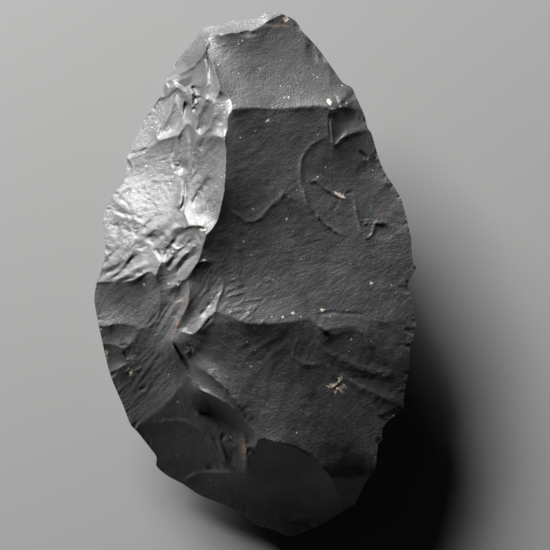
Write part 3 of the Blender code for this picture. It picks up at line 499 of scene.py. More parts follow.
def strike_base(front):
    """The steep scars of the butt and the deep notch at its left."""
    front.strike(1.6, [(-17.7, -51.2), (-16.0, -48.7), (-11.6, -48.2), (-7.5, -47.5),
                       (-2.2, -48.2), (-1.9, -43.6), (0.5, -39.8), (5.1, -40.2),
                       (11.9, -42.4), (15.5, -45.6), (18.4, -49.2), (21.8, -54.5),
                       (23.0, -60.6), (8.5, -68.0), (-8.5, -62.0), (-19.4, -55.8)])
    front.strike(0.4, [(18.4, -49.2), (23.0, -49.5), (28.4, -48.7), (29.3, -52.6),
                       (25.0, -58.2), (21.8, -55.8)], softness=0.6)
    front.strike(1.3, [(-17.5, -25.0), (-14.3, -27.4), (-11.4, -28.5), (-6.1, -31.6),
                       (-2.1, -35.6), (0.5, -39.8), (-1.7, -43.6), (-2.2, -48.2),
                       (-7.5, -47.5), (-11.6, -48.2), (-16.0, -48.7), (-17.7, -51.2),
                       (-25.5, -49.2), (-31.5, -40.0), (-29.6, -37.3), (-23.8, -33.0),
                       (-19.9, -29.3)])
    front.strike(3.2, [(-17.5, -25.0), (-14.3, -27.4), (-11.4, -28.5), (-6.1, -31.6),
                       (-2.1, -35.6), (0.5, -39.8), (-2.2, -43.0), (-6.5, -41.0),
                       (-10.0, -38.0), (-13.5, -34.5), (-17.0, -30.0)],
                 deep=(0.0, 0.6), lip=(2.0, 2.0), wall=2.0)
    front.strike(1.0, [(-25.9, -36.1), (-22.3, -35.4), (-16.5, -35.9), (-11.6, -38.5),
                       (-9.9, -41.2), (-8.7, -44.4), (-8.0, -47.5), (-11.6, -48.2),
                       (-16.0, -48.7), (-17.7, -51.2), (-25.5, -49.7), (-30.8, -40.0)],
                 lip=(0.2, 0.3))
    front.strike(0.5, [(-8.5, -39.8), (-6.5, -41.5), (-3.6, -41.7), (-2.9, -43.6),
                       (-2.2, -48.2), (-7.5, -47.5), (-8.0, -44.4)])


def strike_tip(front):
    """The steep facet across the tip and the wedge at its right."""
    front.strike(0.4, [(-11.0, 58.2), (-4.1, 58.9), (-1.2, 59.4), (1.7, 60.5), (3.2, 61.8),
                       (5.8, 63.0), (7.3, 66.0), (-1.2, 66.0), (-13.3, 63.8),
                       (-13.8, 60.1)])
    front.strike(0.2, [(1.7, 60.4), (3.2, 61.8), (5.8, 63.0), (9.5, 63.5), (11.5, 60.5),
                       (8.2, 60.2)], softness=0.6)


def front_face():
    """The face that is seen, struck scar by scar."""
    front = Face(pegged_surface(EDGE_HEIGHTS + TIP_HEIGHTS + ARRIS_HEIGHTS + RIGHT_HEIGHTS
                                + LEFT_HEIGHTS + BASE_HEIGHTS))
    for strike in (strike_middle, strike_lower_face, strike_right_edge, strike_upper_left,
                   strike_left_flank, strike_lower_left, strike_base, strike_tip):
        strike(front)
    strike_small(front)
    return front


# The back's broad scars in the order they were struck, seen from above: where each starts on the
# edge in degrees, half its width in degrees, how close it comes to the centre as a share of the
# radius, how far its end swings round in degrees, and its hollow
BROAD_SCARS = [(84.0, 26.0, 0.30, 16.0, 0.3), (30.0, 30.0, 0.24, -12.0, 0.5),
               (148.0, 30.0, 0.28, -14.0, 0.5), (338.0, 32.0, 0.28, 14.0, 0.5),
               (208.0, 32.0, 0.24, 12.0, 0.5), (296.0, 24.0, 0.42, -10.0, 0.5),
               (250.0, 24.0, 0.46, 12.0, 0.4), (176.0, 20.0, 0.48, 14.0, 0.7),
               (4.0, 19.0, 0.50, -14.0, 0.7), (107.0, 13.0, 0.56, 12.0, 0.6),
               (58.0, 12.0, 0.58, -10.0, 0.6), (274.0, 15.0, 0.64, 0.0, 0.6)]
SMALL_SCARS = 19
BEYOND_EDGE = 1.1
EDGE_BLEND = 0.12
RADIUS_STEPS = 30
LINE_STEPS = 10


def tongue(edge, start, half_width, near, swing):
    """Rim of a scar that runs in from the edge and ends in a rounded tongue."""
    middle = 0.5 * (1 + near)
    corners = [(-0.9, BEYOND_EDGE, 0.0), (-1.1, middle, 0.4), (-0.75, near + 0.12, 0.9),
               (0.05, near, 1.0), (0.8, near + 0.16, 0.9), (1.1, middle, 0.4),
               (0.9, BEYOND_EDGE, 0.0)]
    return [edge.point(math.radians(start + side * half_width + turned * swing), share)
            for side, share, turned in corners]


class Stone:
    """Both faces of the stone and the edge where they meet."""

    def __init__(self):
        self.edge = EDGE
        self.front = front_face()
        self.turn = np.linspace(-math.pi, math.pi, TURNS, endpoint=False)
        line = self.front.height(self.edge.point(self.turn))
        self.soft_line = self.evened(line, LINE_STEPS)
        self.soft_radius = self.evened(self.edge.radius_at(self.turn), RADIUS_STEPS)
        self.back = Face(self.dome)
        self.strike_back()
        self.gap = line - self.back.height(self.edge.point(self.turn))

    def evened(self, line, steps):
        """The line around the edge with its waves of a few steps taken out."""
        reach = 3 * steps
        spread = np.exp(-0.5 * (np.arange(-reach, reach + 1) / steps)**2)
        padded = np.concatenate([line[-reach:], line, line[:reach]])
        return np.convolve(padded, spread / spread.sum(), mode="valid")

    def around(self, angle, line):
        return np.interp(angle, self.turn, line, period=2 * math.pi)

    def dome(self, points):
        """The back's blank, full at the butt and leaner along the sides."""
        off = points - CENTRE
        angle = np.arctan2(off[:, 1], off[:, 0])
        share = np.hypot(*off.T) / self.around(angle, self.soft_radius)
        towards_tip = np.sin(angle)
        fullness = (SIDE_FULLNESS + (TIP_FULLNESS - SIDE_FULLNESS) * ease(towards_tip)
                    + (BUTT_FULLNESS - SIDE_FULLNESS) * ease(-towards_tip))
        rise = self.around(angle, self.soft_line) + REST_DEPTH
        return rise * np.minimum(share, 1)**fullness - REST_DEPTH

    def strike_back(self):
        for start, half_width, near, swing, hollow in BROAD_SCARS:
            self.back.strike(-hollow, tongue(self.edge, start, half_width, near, swing))
        for step in range(SMALL_SCARS):
            start = 360 * (step + 0.3 * math.sin(5.0 * step)) / SMALL_SCARS
            size = 1 + 0.35 * math.sin(2.4 * step + 1.0)
            rim = tongue(self.edge, start, 7.5 * size, 1 - 0.24 * size, 4 * math.sin(3.1 * step))
            self.back.strike(-0.55 * size, rim)

    def underside(self, points):
        share, angle = self.edge.share_and_angle(points)
        blend = np.clip((share - 1) / EDGE_BLEND + 1, 0, 1)**2
        height = self.back.height(points) + self.around(angle, self.gap) * blend
        thin = share > THIN_FROM
        wedge = EDGE_WEDGE * (1 - share[thin])
        height[thin] = np.minimum(height[thin], self.front.height(points[thin]) - wedge)
        return np.maximum(height, 0)


def on_grid(points):
    """Grid positions, with Y downwards, as millimetres on the stone."""
    points = np.array(points, float)
    return (points - GRID_ZERO) * np.array([GRID, -GRID])


# Small scars: middle, half length and half width on the grid, how far the length is turned
# anticlockwise from X in degrees, and the hollow in millimetres
SMALL_FRONT_SCARS = [
    (169, 82.6, 3.5, 3.5, 0, 0.30), (162.4, 91.3, 5, 4, 60, 0.30), (197, 90, 5, 3, 60, 0.35),
    (195, 98, 3.5, 2, 70, 0.40), (199, 104, 4, 2, 70, 0.40), (194, 109, 4, 2.5, 60, 0.35),
    (201, 97, 4, 1.8, 80, 0.35), (201, 191, 16, 3.5, 53, 0.25), (195, 176, 10, 2.5, 58, 0.18),
    (205, 160, 9, 3, 75, 0.15), (183, 170, 5, 3.5, 60, 0.35), (178, 184, 5, 3, 60, 0.25),
    (163, 160, 1.8, 1.5, 0, 0.20), (171, 182, 2, 1.5, 0, 0.25), (148, 194, 1.6, 1.4, 0, 0.20),
    (136, 229, 2, 1.5, 0, 0.25), (182, 291, 13, 6, 68, 0.45), (142, 388, 4, 3, 30, 0.35),
    (150, 70, 7, 4, 55, 0.30), (349, 192, 4, 2.5, 10, 0.12), (363, 154.5, 7, 3, -38, 0.30),
    (380, 229, 7, 4, 40, 0.10), (297, 27, 5, 2.5, -45, 0.25), (311, 43, 5, 2.2, -50, 0.22),
    (252, 450, 6, 4, 0, 0.25), (210, 466, 6, 5, 60, 0.35), (311.5, 53, 10, 5, -62, 0.28),
    (304, 520, 14, 6, 15, 0.25), (124, 196, 9, 5, 50, 0.30), (116, 228, 8, 4, 70, 0.20),
    (199, 352, 6, 3, -50, 0.10), (247, 34, 8, 4, 5, 0.25), (322, 58, 5, 2.2, -55, 0.25),
    (334, 73, 5, 2.4, -55, 0.20), (360, 102, 5, 3, -60, 0.25), (366, 120, 4, 2.5, -70, 0.25),
    (223, 436, 5, 3, 60, 0.25), (232, 455, 7, 3.5, 75, 0.30)]

# Small facets: hollow and lip in millimetres, and the rim on the grid
FACETS = [
    (0.25, (-0.5, 0.6), [(165.7, 95.7), (178.7, 87), (174.3, 102.2), (165.7, 121.7),
                         (157, 130.4), (155.9, 142.4), (141.7, 147.8), (130.9, 153.3),
                         (128.3, 156.5), (135.2, 139.1), (143.9, 119.6), (157, 97.8)]),
    (0.50, (0.6, -1.8), [(188.5, 69.1), (198.3, 63), (200, 76), (192, 86), (183, 90),
                         (172.2, 80.4), (178.7, 73.9)]),
    (0.90, (1.2, -0.8), [(178.7, 87), (190.7, 102.2), (189.6, 108.7), (183, 123.9),
                         (176.5, 132.6), (165.7, 137), (157, 138), (158, 129.3), (165.7, 121.7),
                         (174.3, 102.2)]),
    (0.60, (-1.6, 1.0), [(183, 101), (190.7, 104), (195, 114), (190, 122), (182, 121)]),
    (0.40, (1.2, -1.5), [(198.3, 65.2), (204.8, 71.7), (205.9, 91.3), (200.4, 108.7),
                         (196, 102.2), (191.7, 87), (191, 76)]),
    (0.40, (-1.4, 1.2), [(190, 86), (196, 85), (201, 92), (196, 95), (192, 92)]),
    (0.80, (1.2, -1.4), [(192, 93), (199, 96), (202, 106), (197, 115), (192, 106)]),
    (0.25, (-1.4, 0.6), [(205.9, 50), (210.2, 60.9), (214.6, 73.9), (217.8, 93.5),
                         (212.4, 102.2), (208, 95.7), (207.4, 82.6), (207, 69.6)]),
    (0.90, (0.4, -0.6), [(209.1, 103.3), (212.4, 108.7), (212.4, 119.6), (209.1, 128.3),
                        (200.4, 133), (196, 130.4), (197.2, 121.7), (202.6, 110.9)]),
    (0.12, (0.4, -0.3), [(213, 100), (219, 96), (227, 104), (228, 116), (222, 126),
                         (215, 122), (213.5, 110)]),
    (1.10, (0.9, -0.6), [(187.4, 123.9), (195, 132.6), (193.9, 147.8), (189.6, 160.9),
                        (188.5, 171.7), (179.8, 175), (174.3, 171.7), (173.3, 160.9),
                        (176.5, 147.8), (178.7, 134.8)]),
    (0.20, (0.2, -0.4), [(132.4, 245.6), (135.1, 241.5), (143.3, 239.5), (146.9, 245.6),
                         (143.3, 249.8), (138.7, 250.2)]),
    (0.25, (-0.1, 0.3), [(144.2, 241), (150.5, 242.9), (159.6, 237.5), (155, 233.8),
                         (146.9, 234.7)]),
    (0.30, (0.2, -0.3), [(172, 229), (181, 226), (190, 234), (185, 246), (176, 249),
                         (170, 240)]),
    (0.70, (0.0, 0.0), [(173, 341.5), (181, 351), (188, 361), (193, 372), (199, 390),
                        (193, 385), (187, 371), (180, 358)]),
    (0.25, (0.0, 0.0), [(162, 232), (170, 240), (172, 252), (163, 262), (155, 254),
                        (157, 242)]),
    (0.0, (0.0, 0.0), [(323, 332), (333, 327), (345, 325), (357, 327), (363, 335), (358, 342),
                       (345, 345), (330, 343), (323, 338)]),
    (0.0, (0.0, 0.0), [(180, 374), (188, 375), (195, 381), (201, 389), (208, 399), (209, 410),
                       (199, 415), (189, 411), (182, 399), (179, 386)]),
    (0.02, (-0.05, 0.08), [(338, 333), (345, 330.5), (353, 330), (361, 331.5), (366, 338),
                          (372, 350), (384, 364), (400, 373), (402, 376), (384, 374.5),
                          (368, 371.5), (349, 364.5), (336, 358.5), (325, 350), (323, 344),
                          (327, 338)]),
    (0.02, (-0.06, 0.1), [(346, 376), (360, 374), (384, 378), (402, 379), (404, 390), (402, 404),
                          (390, 399), (376, 394), (360, 387)]),
    (0.10, (0.4, -0.7), [(376, 396), (390, 400.5), (402, 406), (403, 415), (398, 422), (385, 420),
                         (375, 408)]),
    (-0.30, (0.0, 0.0), [(331, 88), (340, 85), (350, 86), (353, 92), (348, 99), (338, 105),
                         (333, 104), (330, 97)]),
    (-0.12, (0.0, 0.0), [(351, 194), (360, 192), (369, 196), (374, 206), (375, 218), (372, 230),
                          (366, 236), (360, 232), (354, 220), (351, 206)]),
    (0.50, (0.0, 0.0), [(150, 425), (165, 421), (183, 422), (198, 428), (207, 434), (213, 443),
                        (217, 454), (217, 473), (205, 474), (195, 475), (182, 482), (175, 482),
                        (165, 475), (156, 467), (150, 450), (142, 438)]),
    (0.40, (0.0, 0.0), [(109, 325), (117, 323), (130, 324), (137, 328), (134, 338), (127, 345),
                        (121, 347), (116, 341), (109, 332)]),
    (0.30, (0.0, 0.0), [(121, 346), (130, 348), (137, 354), (128, 360), (123, 354)]),
    (0.40, (0.0, 0.0), [(103, 344), (114, 345), (121, 357), (130, 361), (117, 368), (108, 371),
                        (104, 358)]),
    (0.30, (0.0, 0.0), [(176, 284), (184, 280), (189, 287), (189, 298), (186, 306), (180, 313),
                        (174, 306), (171, 293)])]

# Cracks and raised lines: width on the grid, depth in millimetres, less than zero where raised
LINES = [
    (1.8, 0.30, [(207, 100), (210, 103), (213, 104)]),
    (1.8, 0.22, [(128, 158), (132, 153), (144, 149), (150, 143), (155, 140)]),
    (2.0, 0.35, [(184, 178), (185.5, 190), (184, 203), (181, 212)]),
    (4.0, -0.45, [(180, 177), (181, 190), (179.5, 202), (176, 210)]),
    (3.0, -0.35, [(186, 128), (187.5, 142), (186.5, 156), (185, 166)]),
    (2.0, 0.30, [(189.5, 132), (191, 145), (190, 158), (187.5, 168)]),
    (2.0, 0.25, [(174, 140), (172.5, 152), (173, 164), (177, 171)]),
    (5.0, 0.35, [(190, 206), (198, 197), (206, 186), (212, 177)]),
    (4.0, -0.25, [(195, 213), (203, 203), (211, 192), (216, 183)]),
    (3.0, 0.25, [(200, 150), (205, 138), (209, 128)]),
    (3.0, -0.30, [(157, 249), (164, 239), (173, 230), (181, 225)]),
    (2.5, 0.35, [(163, 256), (171, 245), (179, 235), (188, 229)]),
    (2.0, 0.30, [(168, 264), (176, 254), (185, 247), (194, 237)]),
    (2.0, -0.25, [(171, 268), (180, 258), (189, 251), (198, 241)]),
    (2.0, 0.28, [(176, 272), (184, 263), (193, 256), (200, 247)]),
    (2.2, 0.30, [(120, 245), (112, 255), (104, 263), (100, 268)]),
    (2.2, -0.30, [(148, 262), (138, 267), (126, 274), (112, 281)]),
    (2.0, 0.28, [(152, 266), (142, 272), (130, 278), (118, 282)]),
    (2.2, 0.25, [(147, 223), (140, 230), (134, 238)]),
    (2.4, -0.28, [(165, 218), (155, 226), (147, 236)]),
    (2.2, 0.25, [(158, 214), (150, 221), (142, 232)]),
    (9.0, -0.50, [(337, 103), (350, 99)]),
    (1.8, 0.16, [(176, 298), (170, 306), (164, 316), (154, 332)]),
    (1.8, 0.18, [(170, 299), (163, 309), (158, 318), (148, 334)]),
    (1.8, 0.16, [(181, 304), (174, 319), (166, 334), (158, 344)]),
    (1.8, 0.14, [(165, 299), (158, 312), (150, 322), (142, 331)]),
    (1.8, 0.07, [(168, 346), (158, 358), (150, 369), (132, 394)]),
    (1.8, 0.06, [(159, 345), (150, 358), (143, 366), (128, 389)]),
    (1.8, 0.06, [(176, 354), (167, 366), (158, 377), (141, 404)]),
    (1.8, -0.14, [(179, 298), (173, 309), (167, 319), (158, 334)]),
    (1.8, -0.06, [(164, 346), (154, 358), (146, 369), (129, 394)]),
    (3.0, -0.10, [(238, 230), (237, 244), (239, 258), (237, 272), (238, 285), (236, 296)]),
    (1.6, 0.40, [(329, 113), (329, 128), (331, 142)]),
    (1.8, 0.20, [(114.6, 194.6), (126.5, 203.3), (133, 215.2), (132, 223.7), (135, 237)]),
    (6.0, 0.25, [(190, 140), (195, 160), (198, 180)]),
    (2.6, 0.35, [(133, 244), (127.4, 250.2), (121.5, 262), (116.9, 267.5), (107.8, 272),
                 (101.5, 272.9)]),
    (2.2, -0.20, [(135, 248), (130, 254), (124.5, 264.5), (119.5, 270.5), (109, 276), (98, 281)]),
    (2.6, 0.35, [(138.7, 253.5), (133, 258.5), (127.5, 263.5), (122, 270), (117.8, 274.5),
                 (112.4, 279.5), (106, 284)]),
    (2.6, 0.35, [(177, 238), (168.7, 249.3), (163.3, 261)]),
    (2.2, -0.25, [(180, 250), (171, 258.5), (164, 264.5)]),
    (2.2, 0.25, [(180, 255), (172, 263), (166, 268)]),
    (2.0, -0.15, [(188, 250), (178, 262), (172, 272)]),
    (2.0, 0.15, [(192, 252), (182, 265), (176, 275)]),
    (2.5, 0.25, [(149.6, 243.8), (157, 239), (165, 233)]),
    (2.6, 0.20, [(112, 208), (122, 213), (136, 216), (146, 222)]),
    (2.6, 0.16, [(108, 224), (120, 226), (132, 232), (140, 236)]),
    (2.4, -0.12, [(112, 212), (122, 217), (136, 220), (145, 226)]),
    (1.8, 0.15, [(154.2, 247.5), (159.6, 255.6), (162.4, 262)]),
    (2.0, 0.20, [(158, 300), (155, 312), (150, 325)]),
    (1.8, -0.15, [(162, 300), (159, 312), (154, 325)]),
    (1.8, -0.20, [(223, 281.8), (221.7, 290), (218.5, 298.2), (216.7, 304.5), (213, 315)]),
    (1.8, 0.20, [(200, 316), (206, 308), (212, 300)]),
    (1.8, 0.25, [(198, 330), (206, 322), (212, 316)]),
    (1.8, 0.25, [(118, 346), (126, 345), (133, 351)]),
    (1.8, 0.25, [(122, 352), (127, 359)]),
    (1.6, -0.20, [(134, 371), (141, 367)]),
    (2.4, 0.40, [(172, 340), (180, 352), (187, 362), (191, 372)]),
    (1.8, -0.15, [(306, 183), (316, 180), (323, 187), (327, 190), (334, 194), (345, 199)]),
    (1.6, 0.08, [(306, 186), (316, 183), (323, 190), (334, 197), (344, 202)]),
    (1.6, 0.12, [(338, 200.6), (332, 211.5)]),
    (2.0, 0.14, [(313, 315), (330, 312), (345, 313), (362, 314), (370, 318)]),
    (1.8, -0.15, [(318, 323), (325, 330), (333, 335)]),
    (1.8, -0.15, [(326, 364), (335, 377)]),
    (4.5, -0.16, [(323, 346), (336, 357), (349, 363.5), (368, 370), (386, 374), (402, 377)]),
    (4.0, -0.16, [(338, 374), (348, 380), (360, 387), (376, 394), (390, 399), (400, 405)]),
    (3.0, -0.12, [(311, 317), (319, 325), (328, 332)]),
    (2.0, -0.10, [(303, 333), (294, 345), (293, 357), (305, 364), (327, 364)]),
    (2.4, -0.25, [(150, 425), (165, 421), (183, 421), (187, 423), (198, 428), (207, 434),
                  (213, 443), (217, 454)]),
    (2.4, -0.35, [(217, 440), (222, 450), (226, 465)]),
    (1.6, 0.20, [(228, 440), (240, 448)]),
    (2.4, -0.50, [(241, 428), (244, 440), (246, 458), (244, 473)]),
    (2.2, -0.25, [(182, 482), (195, 475), (210, 473.5), (228, 473.5), (245, 473)]),
    (6.0, 0.30, [(197, 391), (204, 395), (212, 400), (221, 406), (231, 412)]),
    (5.0, -0.24, [(196, 361), (205, 366), (214, 373), (222, 382), (231, 393), (240, 403),
                  (248, 415), (253, 428)]),
    (1.8, -0.30, [(207.8, 34.3), (207, 44.6), (202.6, 54.3), (195, 65.2), (188.5, 69.1),
                  (178.7, 73.9)]),
    (1.8, -0.12, [(206, 52), (210.7, 61), (214.5, 69), (217, 82), (219, 92)]),
    (1.8, -0.10, [(232, 109.5), (227.5, 117), (225, 125), (224, 134.5), (224, 152),
                  (224.5, 180), (223.4, 194), (220, 207), (217, 220), (211.5, 229.5)]),
    (2.0, -0.10, [(232, 110), (253, 108), (285, 109), (296, 108), (325, 107)]),
    (2.0, -0.13, [(224.8, 200), (232.7, 211.4), (244, 220.5), (252, 221.6), (262.3, 216),
                  (271.4, 204.5), (280.5, 197.7), (282.7, 192), (289.5, 197.7), (296.4, 200),
                  (301, 198.9)]),
    (2.0, -0.15, [(329.3, 134), (310, 145.5), (300.9, 159), (299.8, 172.7), (302, 188.6)]),
    (1.8, -0.26, [(300.5, 182), (302, 188.6), (307.7, 204.5), (319, 218), (332.7, 229.5),
                  (344, 235)]),
    (2.0, -0.18, [(329.3, 111.4), (328.2, 127.3), (330.5, 136.4), (333.9, 145.5), (344, 136.4),
                  (355.5, 131.8), (366.8, 129.5)]),
    (1.8, -0.20, [(353, 193), (355.5, 209), (360, 229.5), (366.8, 237.5), (371.4, 234),
                  (374.8, 222.7), (382.7, 222.7), (389.5, 227.3)]),
    (2.0, -0.12, [(369, 200), (373.6, 211.4), (378.2, 218.2), (387.3, 223.9)]),
    (1.3, -0.10, [(227, 296.8), (232, 294.5), (237.6, 293.8), (245.4, 290.9)]),
    (1.3, -0.10, [(225, 293), (228, 289.5), (233, 288), (237, 287.3)]),
    (1.3, -0.10, [(229.5, 280.9), (236.3, 278.2)]),
    (1.3, -0.10, [(234.5, 305.9), (241.3, 301.8), (245.4, 295.9)]),
    (1.3, -0.10, [(243, 301), (248.5, 299.5), (255, 299), (264, 297.3)]),
    (1.3, -0.10, [(226.7, 315), (232.2, 311.4), (239.5, 309.5), (245.8, 308.6)]),
    (1.8, -0.14, [(247.2, 310), (250.4, 307.3), (254, 304.5)]),
    (1.5, -0.14, [(240.8, 319.5), (246.7, 315), (253, 310), (255.8, 305.9), (259.5, 302.3)]),
    (1.8, -0.12, [(245.8, 320.5), (250.4, 318.2), (254, 315.5)]),
    (1.8, -0.14, [(260.4, 322.3), (264.9, 319.5)]),
    (1.8, -0.10, [(255.8, 286), (261.3, 283.6)]),
    (1.8, -0.10, [(264.9, 281), (271.7, 278.6)]),
    (2.6, -0.07, [(228, 356), (240, 346), (250, 340), (262, 337)]),
    (2.6, -0.07, [(236, 372), (248, 354), (265, 342), (285, 335)]),
    (2.6, -0.06, [(252, 378), (268, 356), (284, 344), (300, 337)])]

# Ground with a broken, crumbly surface: middle and reach on the grid, and height in millimetres
ROUGH = [(196, 98, 20, 0.16), (181, 165, 13, 0.14), (188, 352, 12, 0.20), (337, 384, 9, 0.25),
         (363, 117, 9, 0.16), (367, 222, 12, 0.10), (340, 195, 9, 0.12), (329, 104, 8, 0.12),
         (204, 260, 5, 0.15), (129, 372, 7, 0.15), (106, 358, 7, 0.12), (200, 240, 12, 0.08),
         (403, 390, 8, 0.12), (244, 450, 8, 0.10), (285, 20, 8, 0.12), (377, 156, 6, 0.12),
         (155, 190, 38, 0.05), (206, 190, 30, 0.05), (122, 232, 34, 0.07), (168, 250, 26, 0.08),
         (175, 120, 40, 0.04), (265, 33, 26, 0.05)]

CRUMB = Noise(21)
CRUMB_SIZE = 0.55
DIMPLE = Noise(22)


def dent(row, seed):
    """Rim of a small oval scar with slightly uneven sides."""
    x, y, long, short, turn = row[:5]
    angle = np.arange(DENT_CORNERS) * 2 * math.pi / DENT_CORNERS
    uneven = 1 + 0.14 * np.random.default_rng(seed).uniform(-1, 1, DENT_CORNERS)
    along, across = long * np.cos(angle) * uneven, short * np.sin(angle) * uneven
    turn = math.radians(turn)
    return on_grid(np.stack([x + along * math.cos(turn) - across * math.sin(turn),
                             y - along * math.sin(turn) - across * math.cos(turn)], axis=-1))


DENT_CORNERS = 9


def strike_small(front):
    """The small scars in the face and the many along its edge."""
    for hollow, lip, rim in FACETS:
        front.strike(hollow, on_grid(rim), lip=lip, wall=0.8, softness=0.6)
    for seed, row in enumerate(SMALL_FRONT_SCARS):
        front.strike(row[5], dent(row, seed), ripple=0.5 * RIPPLE)
    chance = np.random.default_rng(5)
    start = 0.0
    while start < 360:
        width = chance.uniform(1.2, 4.5)
        length = width * chance.uniform(0.3, 0.7)
        radius = float(EDGE.radius_at(math.radians(start)))
        rim = tongue(EDGE, start, math.degrees(0.5 * width / radius), 1 - length / radius,
                     chance.uniform(-1.0, 1.0))
        if chance.uniform() < EDGE_CHIP_SHARE and not PLAIN_TIP[0] < start < PLAIN_TIP[1]:
            front.strike(0.06 * width, rim, ripple=0.0)
        start += math.degrees(width / radius) * chance.uniform(0.8, 1.5)


EDGE_CHIP_SHARE = 0.6
PLAIN_TIP = (72, 106)


def line_relief(points):
    """Height of the cracks and raised lines."""
    height = np.zeros(len(points))
    for width, depth, corners in LINES:
        line = on_grid(corners)
        width = width * GRID
        low, high = line.min(axis=0) - 3 * width, line.max(axis=0) + 3 * width
        near = np.flatnonzero(((points >= low) & (points <= high)).all(axis=1))
        here = points[near]
        nearest = np.full(len(near), np.inf)
        place = np.zeros(len(near))
        run = np.diff(line, axis=0)
        side = np.hypot(*run.T)
        begun = np.concatenate([[0], np.cumsum(side)])
        for start, step, length, before in zip(line, run, side, begun):
            share = np.clip((here - start) @ step / length**2, 0, 1)
            off = np.hypot(*(here - start - share[:, None] * step).T)
            closer = off < nearest
            nearest[closer] = off[closer]
            place[closer] = before + share[closer] * length
        place /= begun[-1]
        wobble = 1 + 0.4 * GRAIN(here[:, 0] / 0.8, here[:, 1] / 0.8)
        taper = ease(np.minimum(place, 1 - place) * 4 + 0.15)
        height[near] -= depth * taper * wobble * np.exp(-(nearest / width)**2)
    return height


def rough_relief(points):
    """Height of the crumbly ground."""
    height = np.zeros(len(points))
    x, y = (points / CRUMB_SIZE).T
    crumbs = CRUMB(x, y) + 0.5 * CRUMB(2.1 * x + 7, 2.1 * y)
    for middle_x, middle_y, reach, lift in ROUGH:
        off = points - on_grid((middle_x, middle_y))
        height += lift * crumbs * (1 - ease(np.hypot(*off.T) / (reach * GRID)))
    return height


def skin_relief(points):
    """The slight unevenness of the whole surface."""
    x, y = points.T
    return (0.05 * DIMPLE(x / 3.1, y / 3.1) + 0.03 * DIMPLE(x / 1.3 + 9, y / 1.3)
            + 0.018 * DIMPLE(x / 0.6, y / 0.6 + 5))


class DetailedStone(Stone):
    """The stone with the relief that shows from close by."""

    def faded(self, points):
        """1 over the faces, falling to 0 at the stone's edge."""
        share, _ = self.edge.share_and_angle(points)
        return ease((1 - share) / 0.02)

    def seen(self, points):
        relief = line_relief(points) + rough_relief(points) + skin_relief(points)
        return self.front.height(points) + relief * self.faded(points)

    def hidden(self, points):
        height = self.underside(points)
        settled = ease(height / 0.5)
        return height + skin_relief(points) * self.faded(points) * settled


def double_pillow():
    """Two square grids joined along their borders, the upper one raised and the lower one sunk."""
    pillow = bmesh.new()
    bmesh.ops.create_grid(pillow, x_segments=CELLS, y_segments=CELLS, size=1.0)
    lower = bmesh.ops.duplicate(pillow, geom=pillow.verts[:] + pillow.edges[:] + pillow.faces[:])
    copied = [item for item in lower["geom"] if isinstance(item, bmesh.types.BMVert)]
    turned = [item for item in lower["geom"] if isinstance(item, bmesh.types.BMFace)]
    bmesh.ops.reverse_faces(pillow, faces=turned)
    for vertex in pillow.verts:
        vertex.co.z = 1 - max(abs(vertex.co.x), abs(vertex.co.y))
    for vertex in copied:
        vertex.co.z = -vertex.co.z
    border = [vertex for vertex in pillow.verts if abs(vertex.co.z) < 1e-6]
    bmesh.ops.remove_doubles(pillow, verts=border, dist=1e-5)
    mesh = bpy.data.meshes.new("stone")
    pillow.to_mesh(mesh)
    pillow.free()
    return mesh


def stone_mesh():
    """The stone's surface as a mesh, in the box of its plain solid."""
    mesh = double_pillow()
    count = len(mesh.vertices)
    unit = np.empty(count * 3)
    mesh.vertices.foreach_get("co", unit)
    x, y, rise = unit.reshape(-1, 3).T
    wide = np.abs(x) > np.abs(y)
    long_side = np.where(wide, x, y)
    long_side[long_side == 0] = 1
    swing = math.pi / 4 * np.where(wide, y, x) / long_side
    angle = np.where(wide, swing, math.pi / 2 - swing) + np.where(long_side < 0, math.pi, 0)
    angle = np.arctan2(np.sin(angle), np.cos(angle))
    stone = DetailedStone()
    plan = stone.edge.point(angle, np.maximum(np.abs(x), np.abs(y)))
    height = np.empty(count)
    top = rise > -1e-6
    height[top] = stone.seen(plan[top])
    height[~top] = stone.hidden(plan[~top])
    places = np.round(np.column_stack([plan, height]), DECIMALS)
    mesh.vertices.foreach_set("co", places.ravel())

    dense = bpy.data.objects.new("dense_stone", mesh)
    bpy.context.scene.collection.objects.link(dense)
    modifier = dense.modifiers.new("Thin", "DECIMATE")
    modifier.ratio = TRIANGLES / sum(len(polygon.vertices) - 2 for polygon in mesh.polygons)
    depsgraph = bpy.context.evaluated_depsgraph_get()
    light = bpy.data.meshes.new_from_object(dense.evaluated_get(depsgraph))
    bpy.data.objects.remove(dense)

    places = np.empty(len(light.vertices) * 3)
    light.vertices.foreach_get("co", places)
    places = places.reshape(-1, 3)
    places[places[:, 2] < NEAR_GROUND, 2] = 0
    low, high = places.min(axis=0), places.max(axis=0)
    box_low, box_high = np.array(cad_low), np.array(cad_high)
    places = box_low + (places - low) * (box_high - box_low) / (high - low)
    light.vertices.foreach_set("co", places.ravel())
    light.shade_smooth()
    light.set_sharp_from_angle(angle=math.radians(SHARP_DEGREES))
    return light


SHARP_DEGREES = 32


